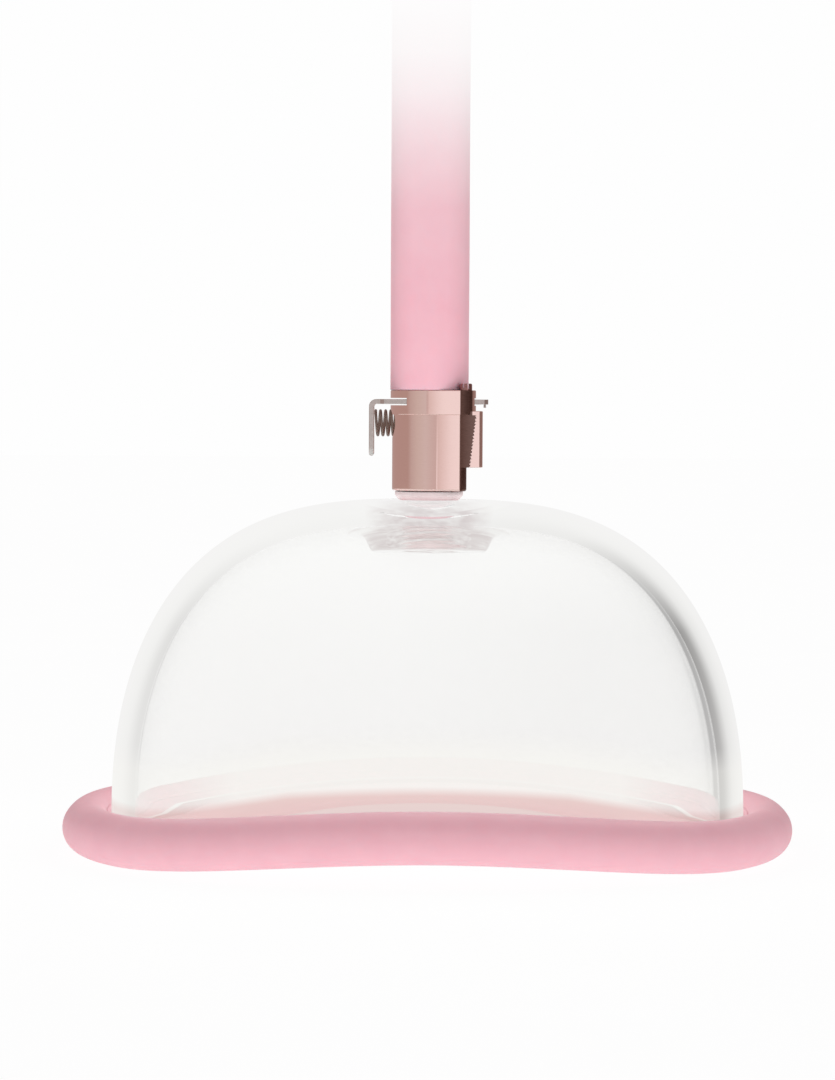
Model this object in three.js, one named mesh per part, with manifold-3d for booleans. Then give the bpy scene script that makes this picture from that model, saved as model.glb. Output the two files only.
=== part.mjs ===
// A vacuum cupping cup: a clear domed cup with a soft saddle-shaped rim, and a quick-release
// coupling with a thumb latch that holds the suction hose.
//
// Millimetres. The origin is on the cup's vertical axis, level with the lowest points of the rim.
// +Z points up along the hose, X runs along the cup's long side and the latch's thumb tab is at -X.

import * as THREE from 'three';
import { mergeVertices } from 'three/addons/utils/BufferGeometryUtils.js';
import Module from 'manifold-3d';

const wasm = await Module();
wasm.setup();

// ---- driving dimensions ------------------------------------------------------------------

const RIM_LENGTH = 120;
const RIM_DEPTH = 91.2;
const RIM_HEIGHT = 8.2;
const RIM_OVERHANG = 8;
const SADDLE_RISE = 2.9;
const SADDLE_REACH = 45;

const PLAN_POWER = 2.4;
const DOME_TOP = 57.9;
const DOME_FOOT = 6.2;
const DOME_WALL = 3.8;
const DOME_SIDE_POWER = 3;
const DOME_CROWN_POWER = 2.2;

const BODY_BOTTOM = 59.3;
const COLLAR_BOTTOM = 71.75;
const COLLAR_TOP = 75.8;
const BODY_RADIUS = 6.1;
const COLLAR_RADIUS = 6.4;
const COLLAR_RIGHT = 7.6;
const LUG_RIGHT = 8.7;

const LATCH_TRAVEL = 1.3;
const PLATE_THICKNESS = 0.8;
const PLATE_MIDDLE = 73.9;

const HOSE_RADIUS = 6.5;
const HOSE_BORE = 4;
const HOSE_TOP = 146;

const THREAD_ROOT = 4.2;
const THREAD_DEPTH = 0.55;
const THREAD_PITCH = 1.4;

const CLEARANCE = 0.3;
const CONTACT_GAP = 0.05;

const PLAN_STEPS = 56;
const ROUND_STEPS = 28;

// ---- shared geometry helpers -------------------------------------------------------------

const radians = THREE.MathUtils.degToRad;

// Drops the shading attributes, joins shared vertices and makes the faces point out.
function closed(geometry) {
  geometry.deleteAttribute('normal');
  geometry.deleteAttribute('uv');
  const merged = mergeVertices(geometry, 1e-5);
  const position = merged.getAttribute('position');
  const index = merged.getIndex().array;
  const corner = [new THREE.Vector3(), new THREE.Vector3(), new THREE.Vector3()];
  let volume = 0;
  for (let i = 0; i < index.length; i += 3) {
    corner.forEach((point, k) => point.fromBufferAttribute(position, index[i + k]));
    volume += corner[0].dot(corner[1].clone().cross(corner[2]));
  }
  if (volume < 0) {
    for (let i = 0; i < index.length; i += 3) {
      [index[i], index[i + 1]] = [index[i + 1], index[i]];
    }
  }
  return merged;
}

function toSolid(geometry) {
  const mesh = closed(geometry);
  return new wasm.Manifold(new wasm.Mesh({
    numProp: 3,
    vertProperties: new Float32Array(mesh.getAttribute('position').array),
    triVerts: new Uint32Array(mesh.getIndex().array),
  }));
}

function toGeometry(solid) {
  const mesh = solid.getMesh();
  const geometry = new THREE.BufferGeometry();
  geometry.setAttribute('position', new THREE.BufferAttribute(mesh.vertProperties, 3));
  geometry.setIndex(new THREE.BufferAttribute(mesh.triVerts, 1));
  return geometry;
}

// Joins the first list of geometries and takes the second list away from them.
function carve(joined, removed = []) {
  let solid = toSolid(joined[0]);
  joined.slice(1).forEach((geometry) => { solid = solid.add(toSolid(geometry)); });
  removed.forEach((geometry) => { solid = solid.subtract(toSolid(geometry)); });
  return toGeometry(solid);
}

// A skin over rows of points. Every row has the same number of points and closes on itself.
// A looped skin joins its last row to its first; otherwise a point closes each end.
function skin(rows, looped) {
  const steps = rows[0].length;
  const points = rows.flat();
  const index = [];
  const joins = looped ? rows.length : rows.length - 1;
  for (let row = 0; row < joins; row++) {
    const next = (row + 1) % rows.length;
    for (let i = 0; i < steps; i++) {
      const j = (i + 1) % steps;
      const [a, b] = [row * steps + i, row * steps + j];
      const [c, d] = [next * steps + i, next * steps + j];
      index.push(a, b, c, b, d, c);
    }
  }
  if (!looped) {
    [0, rows.length - 1].forEach((row) => {
      const middle = rows[row].reduce((sum, p) => sum.add(p), new THREE.Vector3());
      points.push(middle.divideScalar(steps));
      const tip = points.length - 1;
      for (let i = 0; i < steps; i++) {
        const [a, b] = [row * steps + i, row * steps + (i + 1) % steps];
        index.push(...(row === 0 ? [tip, b, a] : [tip, a, b]));
      }
    });
  }
  const geometry = new THREE.BufferGeometry().setFromPoints(points);
  geometry.setIndex(index);
  return closed(geometry);
}

// Turns an outline of [radius, z] points about the Z axis. Outlines off the axis are closed.
function turned(outline, steps = ROUND_STEPS) {
  const points = outline.map(([radius, z]) => new THREE.Vector2(radius, z));
  const onAxis = outline[0][0] === 0 && outline[outline.length - 1][0] === 0;
  if (!onAxis) points.push(points[0].clone());
  return closed(new THREE.LatheGeometry(points, steps).rotateX(Math.PI / 2));
}

function cylinder(radius, bottom, top, steps = ROUND_STEPS) {
  return turned([[0, bottom], [radius, bottom], [radius, top], [0, top]], steps);
}

function ring(middleRadius, wireRadius, height) {
  const torus = new THREE.TorusGeometry(middleRadius, wireRadius, 6, 20);
  return closed(torus.translate(0, 0, height));
}

function box(low, high) {
  const size = high.map((value, i) => value - low[i]);
  const middle = high.map((value, i) => (value + low[i]) / 2);
  return closed(new THREE.BoxGeometry(...size).translate(...middle));
}

function plate(shape, bottom, top, curveSegments = 12) {
  const options = { depth: top - bottom, bevelEnabled: false, curveSegments };
  return closed(new THREE.ExtrudeGeometry(shape, options).translate(0, 0, bottom));
}

// A helix about the Z axis from height 0 to its length.
class Helix extends THREE.Curve {
  constructor(radius, length, turns) {
    super();
    Object.assign(this, { radius, length, turns });
  }

  getPoint(t, target = new THREE.Vector3()) {
    const angle = t * this.turns * 2 * Math.PI;
    return target.set(
      this.radius * Math.cos(angle),
      this.radius * Math.sin(angle),
      t * this.length,
    );
  }
}

// A coil spring that stands on height 0 and takes up the given length, wire included.
function coil({ outerRadius, wire, length, turns }) {
  const helix = new Helix(outerRadius - wire / 2, length - wire, turns);
  const section = new THREE.Shape().absarc(0, 0, wire / 2, 0, 2 * Math.PI);
  const options = {
    extrudePath: helix,
    steps: Math.round(turns * 12),
    curveSegments: 3,
    bevelEnabled: false,
  };
  const geometry = new THREE.ExtrudeGeometry(section, options);
  return closed(geometry.translate(0, 0, wire / 2));
}

// ---- the cup's plan and saddle -----------------------------------------------------------

const signedPower = (value, power) => Math.sign(value) * Math.abs(value) ** power;

// The cup's plan is a squarish oval.
function planPoint(halfLength, halfDepth, angle) {
  return new THREE.Vector2(
    halfLength * signedPower(Math.cos(angle), 2 / PLAN_POWER),
    halfDepth * signedPower(Math.sin(angle), 2 / PLAN_POWER),
  );
}

function planNormal(halfLength, halfDepth, point) {
  return new THREE.Vector2(
    signedPower(point.x / halfLength, PLAN_POWER - 1) / halfLength,
    signedPower(point.y / halfDepth, PLAN_POWER - 1) / halfDepth,
  ).normalize();
}

// The long sides arch up in the middle, so that the rim fits a rounded part of the body.
function saddle(x) {
  return SADDLE_RISE * Math.max(0, 1 - (x / SADDLE_REACH) ** 2) ** 1.5;
}

const FOOT_LENGTH = RIM_LENGTH / 2 - RIM_OVERHANG;
const FOOT_DEPTH = RIM_DEPTH / 2 - RIM_OVERHANG;

// One row round the foot of the cup, a distance out from the dome's outer face.
function footRow(outward, height) {
  return Array.from({ length: PLAN_STEPS }, (_, i) => {
    const base = planPoint(FOOT_LENGTH, FOOT_DEPTH, (i / PLAN_STEPS) * 2 * Math.PI);
    const out = planNormal(FOOT_LENGTH, FOOT_DEPTH, base).multiplyScalar(outward).add(base);
    return new THREE.Vector3(out.x, out.y, height + saddle(base.x));
  });
}

// ---- dome --------------------------------------------------------------------------------

const BEAD_WIDTH = 1.2;
const BEAD_TOP = 5;
const FOOT_BOTTOM = 3.2;
const CROWN_ROWS = 12;
const BOSS_BOTTOM = 49.8;
const BOSS_RADIUS = 11;
const SEAT_RADIUS = 6.3;
const SEAT_HEIGHT = 56.4;

// One row of the dome's wall, inset from the outer face; rise is 0 at the foot, 90 at the crown.
function domeRow(inset, rise) {
  const width = Math.cos(radians(rise)) ** (2 / DOME_SIDE_POWER);
  const climb = Math.sin(radians(rise)) ** (2 / DOME_CROWN_POWER);
  const height = DOME_FOOT + (DOME_TOP - DOME_FOOT - inset) * climb;
  return Array.from({ length: PLAN_STEPS }, (_, i) => {
    const angle = (i / PLAN_STEPS) * 2 * Math.PI;
    const point = planPoint(FOOT_LENGTH - inset, FOOT_DEPTH - inset, angle);
    const lift = saddle(point.x) * (1 - climb) ** 2;
    return new THREE.Vector3(point.x * width, point.y * width, height + lift);
  });
}

// The helical ridge of a thread: its radius at an angle and a height.
function threadRadius(root, angle, height) {
  const phase = height / THREAD_PITCH - angle / (2 * Math.PI);
  const ridge = 1 - Math.abs(2 * (phase - Math.floor(phase)) - 1);
  return root + THREAD_DEPTH * ridge;
}

const THREAD_STEPS = 20;

function threadRows(root, bottom, top) {
  const count = Math.round((top - bottom) / (THREAD_PITCH / 4));
  return Array.from({ length: count + 1 }, (_, row) => {
    const height = bottom + ((top - bottom) * row) / count;
    return Array.from({ length: THREAD_STEPS }, (__, i) => {
      const angle = (i / THREAD_STEPS) * 2 * Math.PI;
      const radius = threadRadius(root, angle, height);
      return new THREE.Vector3(radius * Math.cos(angle), radius * Math.sin(angle), height);
    });
  });
}

function tappedHole(bottom, top) {
  return skin(threadRows(THREAD_ROOT + CLEARANCE, bottom, top), false);
}

function dome() {
  const crown = Array.from({ length: CROWN_ROWS }, (_, i) => (90 * (i + 1)) / (CROWN_ROWS + 1));
  const shell = skin([
    ...crown.toReversed().map((rise) => domeRow(0, rise)),
    footRow(0, DOME_FOOT),
    footRow(0, BEAD_TOP),
    footRow(BEAD_WIDTH, BEAD_TOP - 0.4),
    footRow(BEAD_WIDTH, FOOT_BOTTOM),
    footRow(-DOME_WALL, FOOT_BOTTOM),
    footRow(-DOME_WALL, DOME_FOOT),
    ...crown.map((rise) => domeRow(DOME_WALL, rise)),
  ], false);
  const boss = turned([
    [0, BOSS_BOTTOM],
    [BOSS_RADIUS - 2, BOSS_BOTTOM],
    [BOSS_RADIUS - 1, BOSS_BOTTOM + 1],
    [BOSS_RADIUS, SEAT_HEIGHT - 1.2],
    [0, SEAT_HEIGHT - 1.2],
  ]);
  const seat = cylinder(SEAT_RADIUS, SEAT_HEIGHT, DOME_TOP + 1);
  const hole = tappedHole(BOSS_BOTTOM - 1, SEAT_HEIGHT + 0.5);
  return carve([shell, boss], [seat, hole]);
}

// ---- silicone rim ------------------------------------------------------------------------

const SKIRT_INNER = -6.8;
const SKIRT_TOP = 4.4;
const GUTTER = 6;

// The section of the rim: a fat round lobe outside, a gutter beside the dome, a groove that
// grips the dome's foot and its bead, and a low skirt inside.
function rimSection() {
  const lobe = RIM_HEIGHT / 2;
  const middle = RIM_OVERHANG - lobe;
  const points = [[SKIRT_INNER, 1.7], [-4, 0.75], [0, 0.2]];
  for (let angle = -90; angle <= 150; angle += 24) {
    points.push([
      middle + lobe * Math.cos(radians(angle)),
      lobe + lobe * Math.sin(radians(angle)),
    ]);
  }
  points.push(
    [CLEARANCE, GUTTER],
    [CLEARANCE, BEAD_TOP + CLEARANCE],
    [BEAD_WIDTH + CLEARANCE, BEAD_TOP + CLEARANCE],
    [BEAD_WIDTH + CLEARANCE, FOOT_BOTTOM - CLEARANCE],
    [-DOME_WALL - 0.5, FOOT_BOTTOM - CLEARANCE],
    [-DOME_WALL - 0.5, SKIRT_TOP - 0.4],
    [-DOME_WALL - 1.1, SKIRT_TOP],
    [SKIRT_INNER + 0.6, SKIRT_TOP],
    [SKIRT_INNER, SKIRT_TOP - 0.6],
  );
  return points;
}

function rimSeal() {
  return skin(rimSection().map(([outward, height]) => footRow(outward, height)), true);
}

// ---- threaded nipple and its seals -------------------------------------------------------

const NIPPLE_BOTTOM = 50.4;
const NIPPLE_TOP = 62.6;
const NIPPLE_BORE = 2;
const NECK_RADIUS = 4.2;
const LEAD_RADIUS = 4.35;
const LEAD_TOP = 51.9;
const FLANGE_RADIUS = 5.6;
const FLANGE_BOTTOM = 57.2;
const FLANGE_TOP = 59.2;
const UPPER_THREAD = 60.4;
const RING_WIRE = 0.48;
const SEAL_RECESS_RADIUS = 5.5;

function circleRow(radius, height) {
  return Array.from({ length: THREAD_STEPS }, (_, i) => {
    const angle = (i / THREAD_STEPS) * 2 * Math.PI;
    return new THREE.Vector3(radius * Math.cos(angle), radius * Math.sin(angle), height);
  });
}

function threadedNipple() {
  return skin([
    circleRow(NIPPLE_BORE, NIPPLE_BOTTOM),
    circleRow(LEAD_RADIUS, NIPPLE_BOTTOM),
    circleRow(LEAD_RADIUS, LEAD_TOP),
    ...threadRows(THREAD_ROOT, LEAD_TOP + 0.1, SEAT_HEIGHT),
    circleRow(NECK_RADIUS, SEAT_HEIGHT + 0.1),
    circleRow(NECK_RADIUS, FLANGE_BOTTOM),
    circleRow(FLANGE_RADIUS - 0.7, FLANGE_BOTTOM),
    circleRow(FLANGE_RADIUS - 0.2, FLANGE_BOTTOM + 0.25),
    circleRow(FLANGE_RADIUS, FLANGE_BOTTOM + 0.8),
    circleRow(FLANGE_RADIUS, FLANGE_TOP),
    circleRow(NECK_RADIUS - 0.2, FLANGE_TOP),
    circleRow(NECK_RADIUS - 0.2, UPPER_THREAD - 0.1),
    ...threadRows(THREAD_ROOT, UPPER_THREAD, NIPPLE_TOP),
    circleRow(NIPPLE_BORE, NIPPLE_TOP),
  ], true);
}

function nippleWasher() {
  const [bottom, top] = [SEAT_HEIGHT + CONTACT_GAP, FLANGE_BOTTOM - CONTACT_GAP];
  const [inner, outer] = [NECK_RADIUS + CLEARANCE, FLANGE_RADIUS - 0.1];
  return turned([[inner, bottom], [outer, bottom], [outer, top], [inner, top]], 24);
}

function bodyORing() {
  return ring(NECK_RADIUS + RING_WIRE, RING_WIRE, FLANGE_TOP + CONTACT_GAP + RING_WIRE);
}

// ---- coupling body -----------------------------------------------------------------------

const SEAT_OPENING = 2.4;
const VALVE_SEAT_BOTTOM = 66.9;
const VALVE_SEAT_TOP = 67.5;
const CHAMBER_RADIUS = 3.7;
const SOCKET_RADIUS = 3.5;
const BODY_FLAT = 1.15;
const COLLAR_FLAT = -0.5;
const LUG_BOTTOM = 63.2;
const LUG_TOP = 72.4;
const SLOT_HALF_WIDTH = 5.2;
const SLOT_HALF_HEIGHT = 0.6;
const PIN_X = 5.9;
const PIN_Y = -4.95;
const PIN_WELL_BOTTOM = 65.2;
const PIN_RECESS = 0.8;
const SPRING_HEIGHT = 70.4;
const POCKET_FACE = -5.4;

// A plan that is round at -X. From flatStart its sides are flat, and its +X corners are rounded.
function roundBackedPlan({ radius, right, corner, flatStart }) {
  const turn = Math.acos(flatStart / radius);
  const half = radius * Math.sin(turn);
  const shape = new THREE.Shape();
  shape.moveTo(flatStart, -half);
  shape.lineTo(right - corner, -half);
  shape.absarc(right - corner, corner - half, corner, -Math.PI / 2, 0);
  shape.lineTo(right, half - corner);
  shape.absarc(right - corner, half - corner, corner, 0, Math.PI / 2);
  shape.lineTo(flatStart, half);
  shape.absarc(0, 0, radius, turn, 2 * Math.PI - turn);
  return shape;
}

// An upright block with chamfered top and bottom edges.
function chamferedBlock(shape, bottom, top, chamfer) {
  const options = {
    depth: top - bottom - 2 * chamfer,
    bevelThickness: chamfer,
    bevelSize: chamfer,
    bevelOffset: -chamfer,
    bevelSegments: 1,
    curveSegments: 10,
  };
  const geometry = new THREE.ExtrudeGeometry(shape, options);
  return closed(geometry.translate(0, 0, bottom + chamfer));
}

function springPocket() {
  const depth = BODY_RADIUS + POCKET_FACE + 1;
  const pocket = cylinder(2.4, 0, depth, 20);
  return pocket.rotateY(-Math.PI / 2).translate(POCKET_FACE, 0, SPRING_HEIGHT);
}

function couplingBody() {
  const barrelPlan = roundBackedPlan(
    { radius: BODY_RADIUS, right: BODY_RADIUS, corner: 1.5, flatStart: BODY_FLAT });
  const collarPlan = roundBackedPlan(
    { radius: COLLAR_RADIUS, right: COLLAR_RIGHT, corner: 2.2, flatStart: COLLAR_FLAT });
  const lugPlan = roundBackedPlan(
    { radius: BODY_RADIUS - 0.02, right: LUG_RIGHT, corner: 0.9, flatStart: BODY_FLAT });
  const barrel = chamferedBlock(barrelPlan, BODY_BOTTOM, COLLAR_BOTTOM + 0.5, 0.3);
  const collar = chamferedBlock(collarPlan, COLLAR_BOTTOM, COLLAR_TOP, 0.2);
  const lug = chamferedBlock(lugPlan, LUG_BOTTOM, LUG_TOP, 0.15);
  const sealRecess = cylinder(SEAL_RECESS_RADIUS, BODY_BOTTOM - 1, UPPER_THREAD - 0.1);
  const thread = tappedHole(UPPER_THREAD - 0.2, NIPPLE_TOP + 0.4);
  const chamber = cylinder(CHAMBER_RADIUS, NIPPLE_TOP, VALVE_SEAT_BOTTOM);
  const opening = cylinder(SEAT_OPENING, NIPPLE_TOP, COLLAR_TOP);
  const socket = cylinder(SOCKET_RADIUS, VALVE_SEAT_TOP, COLLAR_TOP + 1);
  const slot = box(
    [-LUG_RIGHT, -SLOT_HALF_WIDTH, PLATE_MIDDLE - SLOT_HALF_HEIGHT],
    [LUG_RIGHT, SLOT_HALF_WIDTH, PLATE_MIDDLE + SLOT_HALF_HEIGHT],
  );
  const well = cylinder(0.7, PIN_WELL_BOTTOM, COLLAR_TOP + 1, 16).translate(PIN_X, PIN_Y, 0);
  const recess = cylinder(1.2, COLLAR_TOP - PIN_RECESS, COLLAR_TOP + 1, 16);
  recess.translate(PIN_X, PIN_Y, 0);
  const removed = [
    sealRecess, thread, chamber, opening, socket, slot, springPocket(), well, recess,
  ];
  return carve([barrel, collar, lug], removed);
}

// ---- thumb latch -------------------------------------------------------------------------

const PLATE_HALF_WIDTH = 5;
const PLATE_RIGHT = 9.6;
const TAB_OUTER = -9.9;
const TAB_BOTTOM = 65;
const TAB_HALF_WIDTH = 4;
const BEND_RADIUS = 1.2;
const LATCH_HOLE = 3.6;
const LATCH_GRIP = 1.2;

function flatPlate() {
  const left = TAB_OUTER + BEND_RADIUS + 0.5;
  const shape = new THREE.Shape();
  shape.moveTo(left, -TAB_HALF_WIDTH);
  shape.lineTo(left + 1, -PLATE_HALF_WIDTH);
  shape.lineTo(PLATE_RIGHT - 1, -PLATE_HALF_WIDTH);
  shape.absarc(PLATE_RIGHT - 1, 1 - PLATE_HALF_WIDTH, 1, -Math.PI / 2, 0);
  shape.absarc(PLATE_RIGHT - 1, PLATE_HALF_WIDTH - 1, 1, 0, Math.PI / 2);
  shape.lineTo(left + 1, PLATE_HALF_WIDTH);
  shape.lineTo(left, TAB_HALF_WIDTH);
  shape.holes.push(new THREE.Path().absarc(-LATCH_GRIP, 0, LATCH_HOLE, 0, 2 * Math.PI));
  const low = PLATE_MIDDLE - PLATE_THICKNESS / 2;
  return plate(shape, low, low + PLATE_THICKNESS, 16);
}

// The bend and the thumb tab, drawn from the side and given their width.
function thumbTab() {
  const top = PLATE_MIDDLE + PLATE_THICKNESS / 2;
  const inner = BEND_RADIUS - PLATE_THICKNESS;
  const bend = [TAB_OUTER + BEND_RADIUS, top - BEND_RADIUS];
  const end = PLATE_THICKNESS / 2;
  const shape = new THREE.Shape();
  shape.moveTo(bend[0] + 1, top);
  shape.absarc(bend[0], bend[1], BEND_RADIUS, Math.PI / 2, Math.PI);
  shape.absarc(TAB_OUTER + end, TAB_BOTTOM + end, end, Math.PI, 2 * Math.PI);
  shape.absarc(bend[0], bend[1], inner, Math.PI, Math.PI / 2, true);
  shape.lineTo(bend[0] + 1, top - PLATE_THICKNESS);
  const options = { depth: 2 * TAB_HALF_WIDTH, bevelEnabled: false, curveSegments: 6 };
  const geometry = new THREE.ExtrudeGeometry(shape, options);
  return closed(geometry.rotateX(Math.PI / 2).translate(0, TAB_HALF_WIDTH, 0));
}

function latchPlate() {
  const notch = box(
    [PIN_X - 0.9 - LATCH_TRAVEL, -PLATE_HALF_WIDTH - 1, PLATE_MIDDLE - 1],
    [PIN_X + 0.9, PIN_Y + 0.85, PLATE_MIDDLE + 1],
  );
  const stopLow = PLATE_MIDDLE - PLATE_THICKNESS / 2 - 0.6;
  const stop = box([8.9, -1.5, stopLow], [9.3, 1.5, PLATE_MIDDLE]);
  return carve([flatPlate(), thumbTab(), stop], [notch]);
}

function latchSpring() {
  const length = POCKET_FACE - (TAB_OUTER + PLATE_THICKNESS) - 2 * CONTACT_GAP;
  const spring = coil({ outerRadius: 2.25, wire: 0.5, length, turns: 4.25 });
  return spring.rotateY(-Math.PI / 2).translate(POCKET_FACE - CONTACT_GAP, 0, SPRING_HEIGHT);
}

// ---- cocking pin -------------------------------------------------------------------------

const PIN_HEAD_BOTTOM = 75.7;
const PIN_HEAD_TOP = 76.9;
const PIN_BOTTOM = 68.2;

function cockingPin() {
  const pin = turned([
    [0, PIN_BOTTOM],
    [0.5, PIN_BOTTOM],
    [0.5, PIN_HEAD_BOTTOM],
    [1.05, PIN_HEAD_BOTTOM],
    [1.05, PIN_HEAD_TOP - 0.2],
    [0.85, PIN_HEAD_TOP],
    [0, PIN_HEAD_TOP],
  ], 16);
  const slots = [[1.5, 0.15], [0.15, 1.5]].map(([x, y]) => (
    box([-x, -y, PIN_HEAD_TOP - 0.5], [x, y, PIN_HEAD_TOP + 1])
  ));
  return carve([pin], slots).translate(PIN_X, PIN_Y, 0);
}

function cockingPinSpring() {
  const low = PIN_WELL_BOTTOM + CONTACT_GAP;
  const length = PIN_BOTTOM - CONTACT_GAP - low;
  const spring = coil({ outerRadius: 0.58, wire: 0.2, length, turns: 5 });
  return spring.translate(PIN_X, PIN_Y, low);
}

// ---- shut-off valve ----------------------------------------------------------------------

const POPPET_BOTTOM = 64.6;
const POPPET_FACE = 65.6;
const POPPET_CROWN = 67.8;
const CROWN_THICKNESS = 0.5;
const STEM_RADIUS = 0.9;
const VALVE_SEAL_WIRE = 0.35;

function valvePoppet() {
  const poppet = turned([
    [0, POPPET_BOTTOM],
    [3.2, POPPET_BOTTOM],
    [3.2, POPPET_FACE],
    [STEM_RADIUS, POPPET_FACE],
    [STEM_RADIUS, POPPET_CROWN - CROWN_THICKNESS],
    [2.1, POPPET_CROWN - CROWN_THICKNESS],
    [2.1, POPPET_CROWN],
    [0, POPPET_CROWN],
  ], 24);
  const notches = [0, 120, 240].map((turn) => {
    const notch = box(
      [1, -0.5, POPPET_CROWN - CROWN_THICKNESS - 0.2],
      [3, 0.5, POPPET_CROWN + 1],
    );
    return notch.rotateZ(radians(turn));
  });
  return carve([poppet], notches);
}

function valveSeal() {
  return ring(2.8, VALVE_SEAL_WIRE, POPPET_FACE + VALVE_SEAL_WIRE + CONTACT_GAP);
}

function valveSpring() {
  const low = NIPPLE_TOP + CONTACT_GAP;
  const length = POPPET_BOTTOM - CONTACT_GAP - low;
  return coil({ outerRadius: 2.9, wire: 0.3, length, turns: 3 }).translate(0, 0, low);
}

// ---- hose and its insert -----------------------------------------------------------------

const INSERT_RADIUS = 3.2;
const INSERT_TIP = 67.9;
const INSERT_TOP = 88;
const INSERT_BORE = 1.5;
const HOSE_BOTTOM = 76;
const GROOVE_RADIUS = 2.2;
const SEAL_GROOVE_RADIUS = 2.45;
const SEAL_GROOVE = 69.6;
const SEAL_GROOVE_HEIGHT = 1.3;
const BARB_RADIUS = HOSE_BORE - CLEARANCE;
const BARB_ROOT = 2.9;
const BARB_PITCH = 3;

function hoseInsert() {
  const latchGroove = SLOT_HALF_HEIGHT + 0.2;
  const outline = [
    [INSERT_BORE, INSERT_TIP],
    [INSERT_RADIUS - 0.6, INSERT_TIP],
    [INSERT_RADIUS, INSERT_TIP + 0.6],
    [INSERT_RADIUS, SEAL_GROOVE],
    [SEAL_GROOVE_RADIUS, SEAL_GROOVE],
    [SEAL_GROOVE_RADIUS, SEAL_GROOVE + SEAL_GROOVE_HEIGHT],
    [INSERT_RADIUS, SEAL_GROOVE + SEAL_GROOVE_HEIGHT],
    [INSERT_RADIUS, PLATE_MIDDLE - latchGroove],
    [GROOVE_RADIUS, PLATE_MIDDLE - latchGroove],
    [GROOVE_RADIUS, PLATE_MIDDLE + latchGroove],
    [INSERT_RADIUS, PLATE_MIDDLE + latchGroove],
    [INSERT_RADIUS, HOSE_BOTTOM + 0.5],
  ];
  for (let low = HOSE_BOTTOM + 1; low + BARB_PITCH < INSERT_TOP; low += BARB_PITCH) {
    outline.push([BARB_ROOT, low], [BARB_RADIUS, low + 0.2], [BARB_ROOT, low + BARB_PITCH - 0.1]);
  }
  outline.push([BARB_ROOT - 0.3, INSERT_TOP], [INSERT_BORE, INSERT_TOP]);
  return turned(outline, 24);
}

function insertORing() {
  return ring(3, 0.4, SEAL_GROOVE + SEAL_GROOVE_HEIGHT / 2);
}

function hose() {
  return turned([
    [HOSE_BORE, HOSE_BOTTOM],
    [HOSE_RADIUS - 0.2, HOSE_BOTTOM],
    [HOSE_RADIUS, HOSE_BOTTOM + 0.2],
    [HOSE_RADIUS, HOSE_TOP],
    [HOSE_BORE, HOSE_TOP],
  ], 48);
}

// ---- materials and assembly --------------------------------------------------------------

const LOOKS = {
  clearAcrylic: { color: 0xf4f5f3, roughness: 0.05, metalness: 0, transparent: true, opacity: 0.3 },
  pinkSilicone: { color: 0xefb4c1, roughness: 0.45, metalness: 0 },
  milkyNylon: { color: 0xe3d6d6, roughness: 0.35, metalness: 0 },
  roseGold: { color: 0xdcae9f, roughness: 0.15, metalness: 1 },
  stainless: { color: 0xc9c8c6, roughness: 0.3, metalness: 1 },
  springSteel: { color: 0x8d8176, roughness: 0.3, metalness: 1 },
  darkRubber: { color: 0x2a2728, roughness: 0.7, metalness: 0 },
  whitePlastic: { color: 0xe9e7e4, roughness: 0.4, metalness: 0 },
};

function piece(name, geometry, look) {
  const mesh = new THREE.Mesh(geometry, new THREE.MeshStandardMaterial(LOOKS[look]));
  mesh.name = name;
  return mesh;
}

const cup = new THREE.Group();
cup.add(
  piece('dome', dome(), 'clearAcrylic'),
  piece('rim_seal', rimSeal(), 'pinkSilicone'),
  piece('threaded_nipple', threadedNipple(), 'milkyNylon'),
  piece('nipple_washer', nippleWasher(), 'pinkSilicone'),
  piece('coupling_body', couplingBody(), 'roseGold'),
  piece('body_o_ring', bodyORing(), 'darkRubber'),
);

const latch = new THREE.Group();
latch.add(
  piece('latch_plate', latchPlate(), 'stainless'),
  piece('latch_spring', latchSpring(), 'springSteel'),
  piece('cocking_pin', cockingPin(), 'roseGold'),
  piece('cocking_pin_spring', cockingPinSpring(), 'springSteel'),
);

const valve = new THREE.Group();
valve.add(
  piece('valve_poppet', valvePoppet(), 'whitePlastic'),
  piece('valve_seal', valveSeal(), 'darkRubber'),
  piece('valve_spring', valveSpring(), 'springSteel'),
);

const hoseEnd = new THREE.Group();
hoseEnd.add(
  piece('hose_insert', hoseInsert(), 'roseGold'),
  piece('insert_o_ring', insertORing(), 'darkRubber'),
  piece('hose', hose(), 'pinkSilicone'),
);

const assembly = new THREE.Group();
assembly.add(cup, latch, valve, hoseEnd);

export default assembly;
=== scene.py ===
"""Looks of the vacuum cupping cup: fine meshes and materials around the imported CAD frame."""

import math

import bmesh
import bpy
import numpy as np
from mathutils import Matrix, Vector


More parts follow.
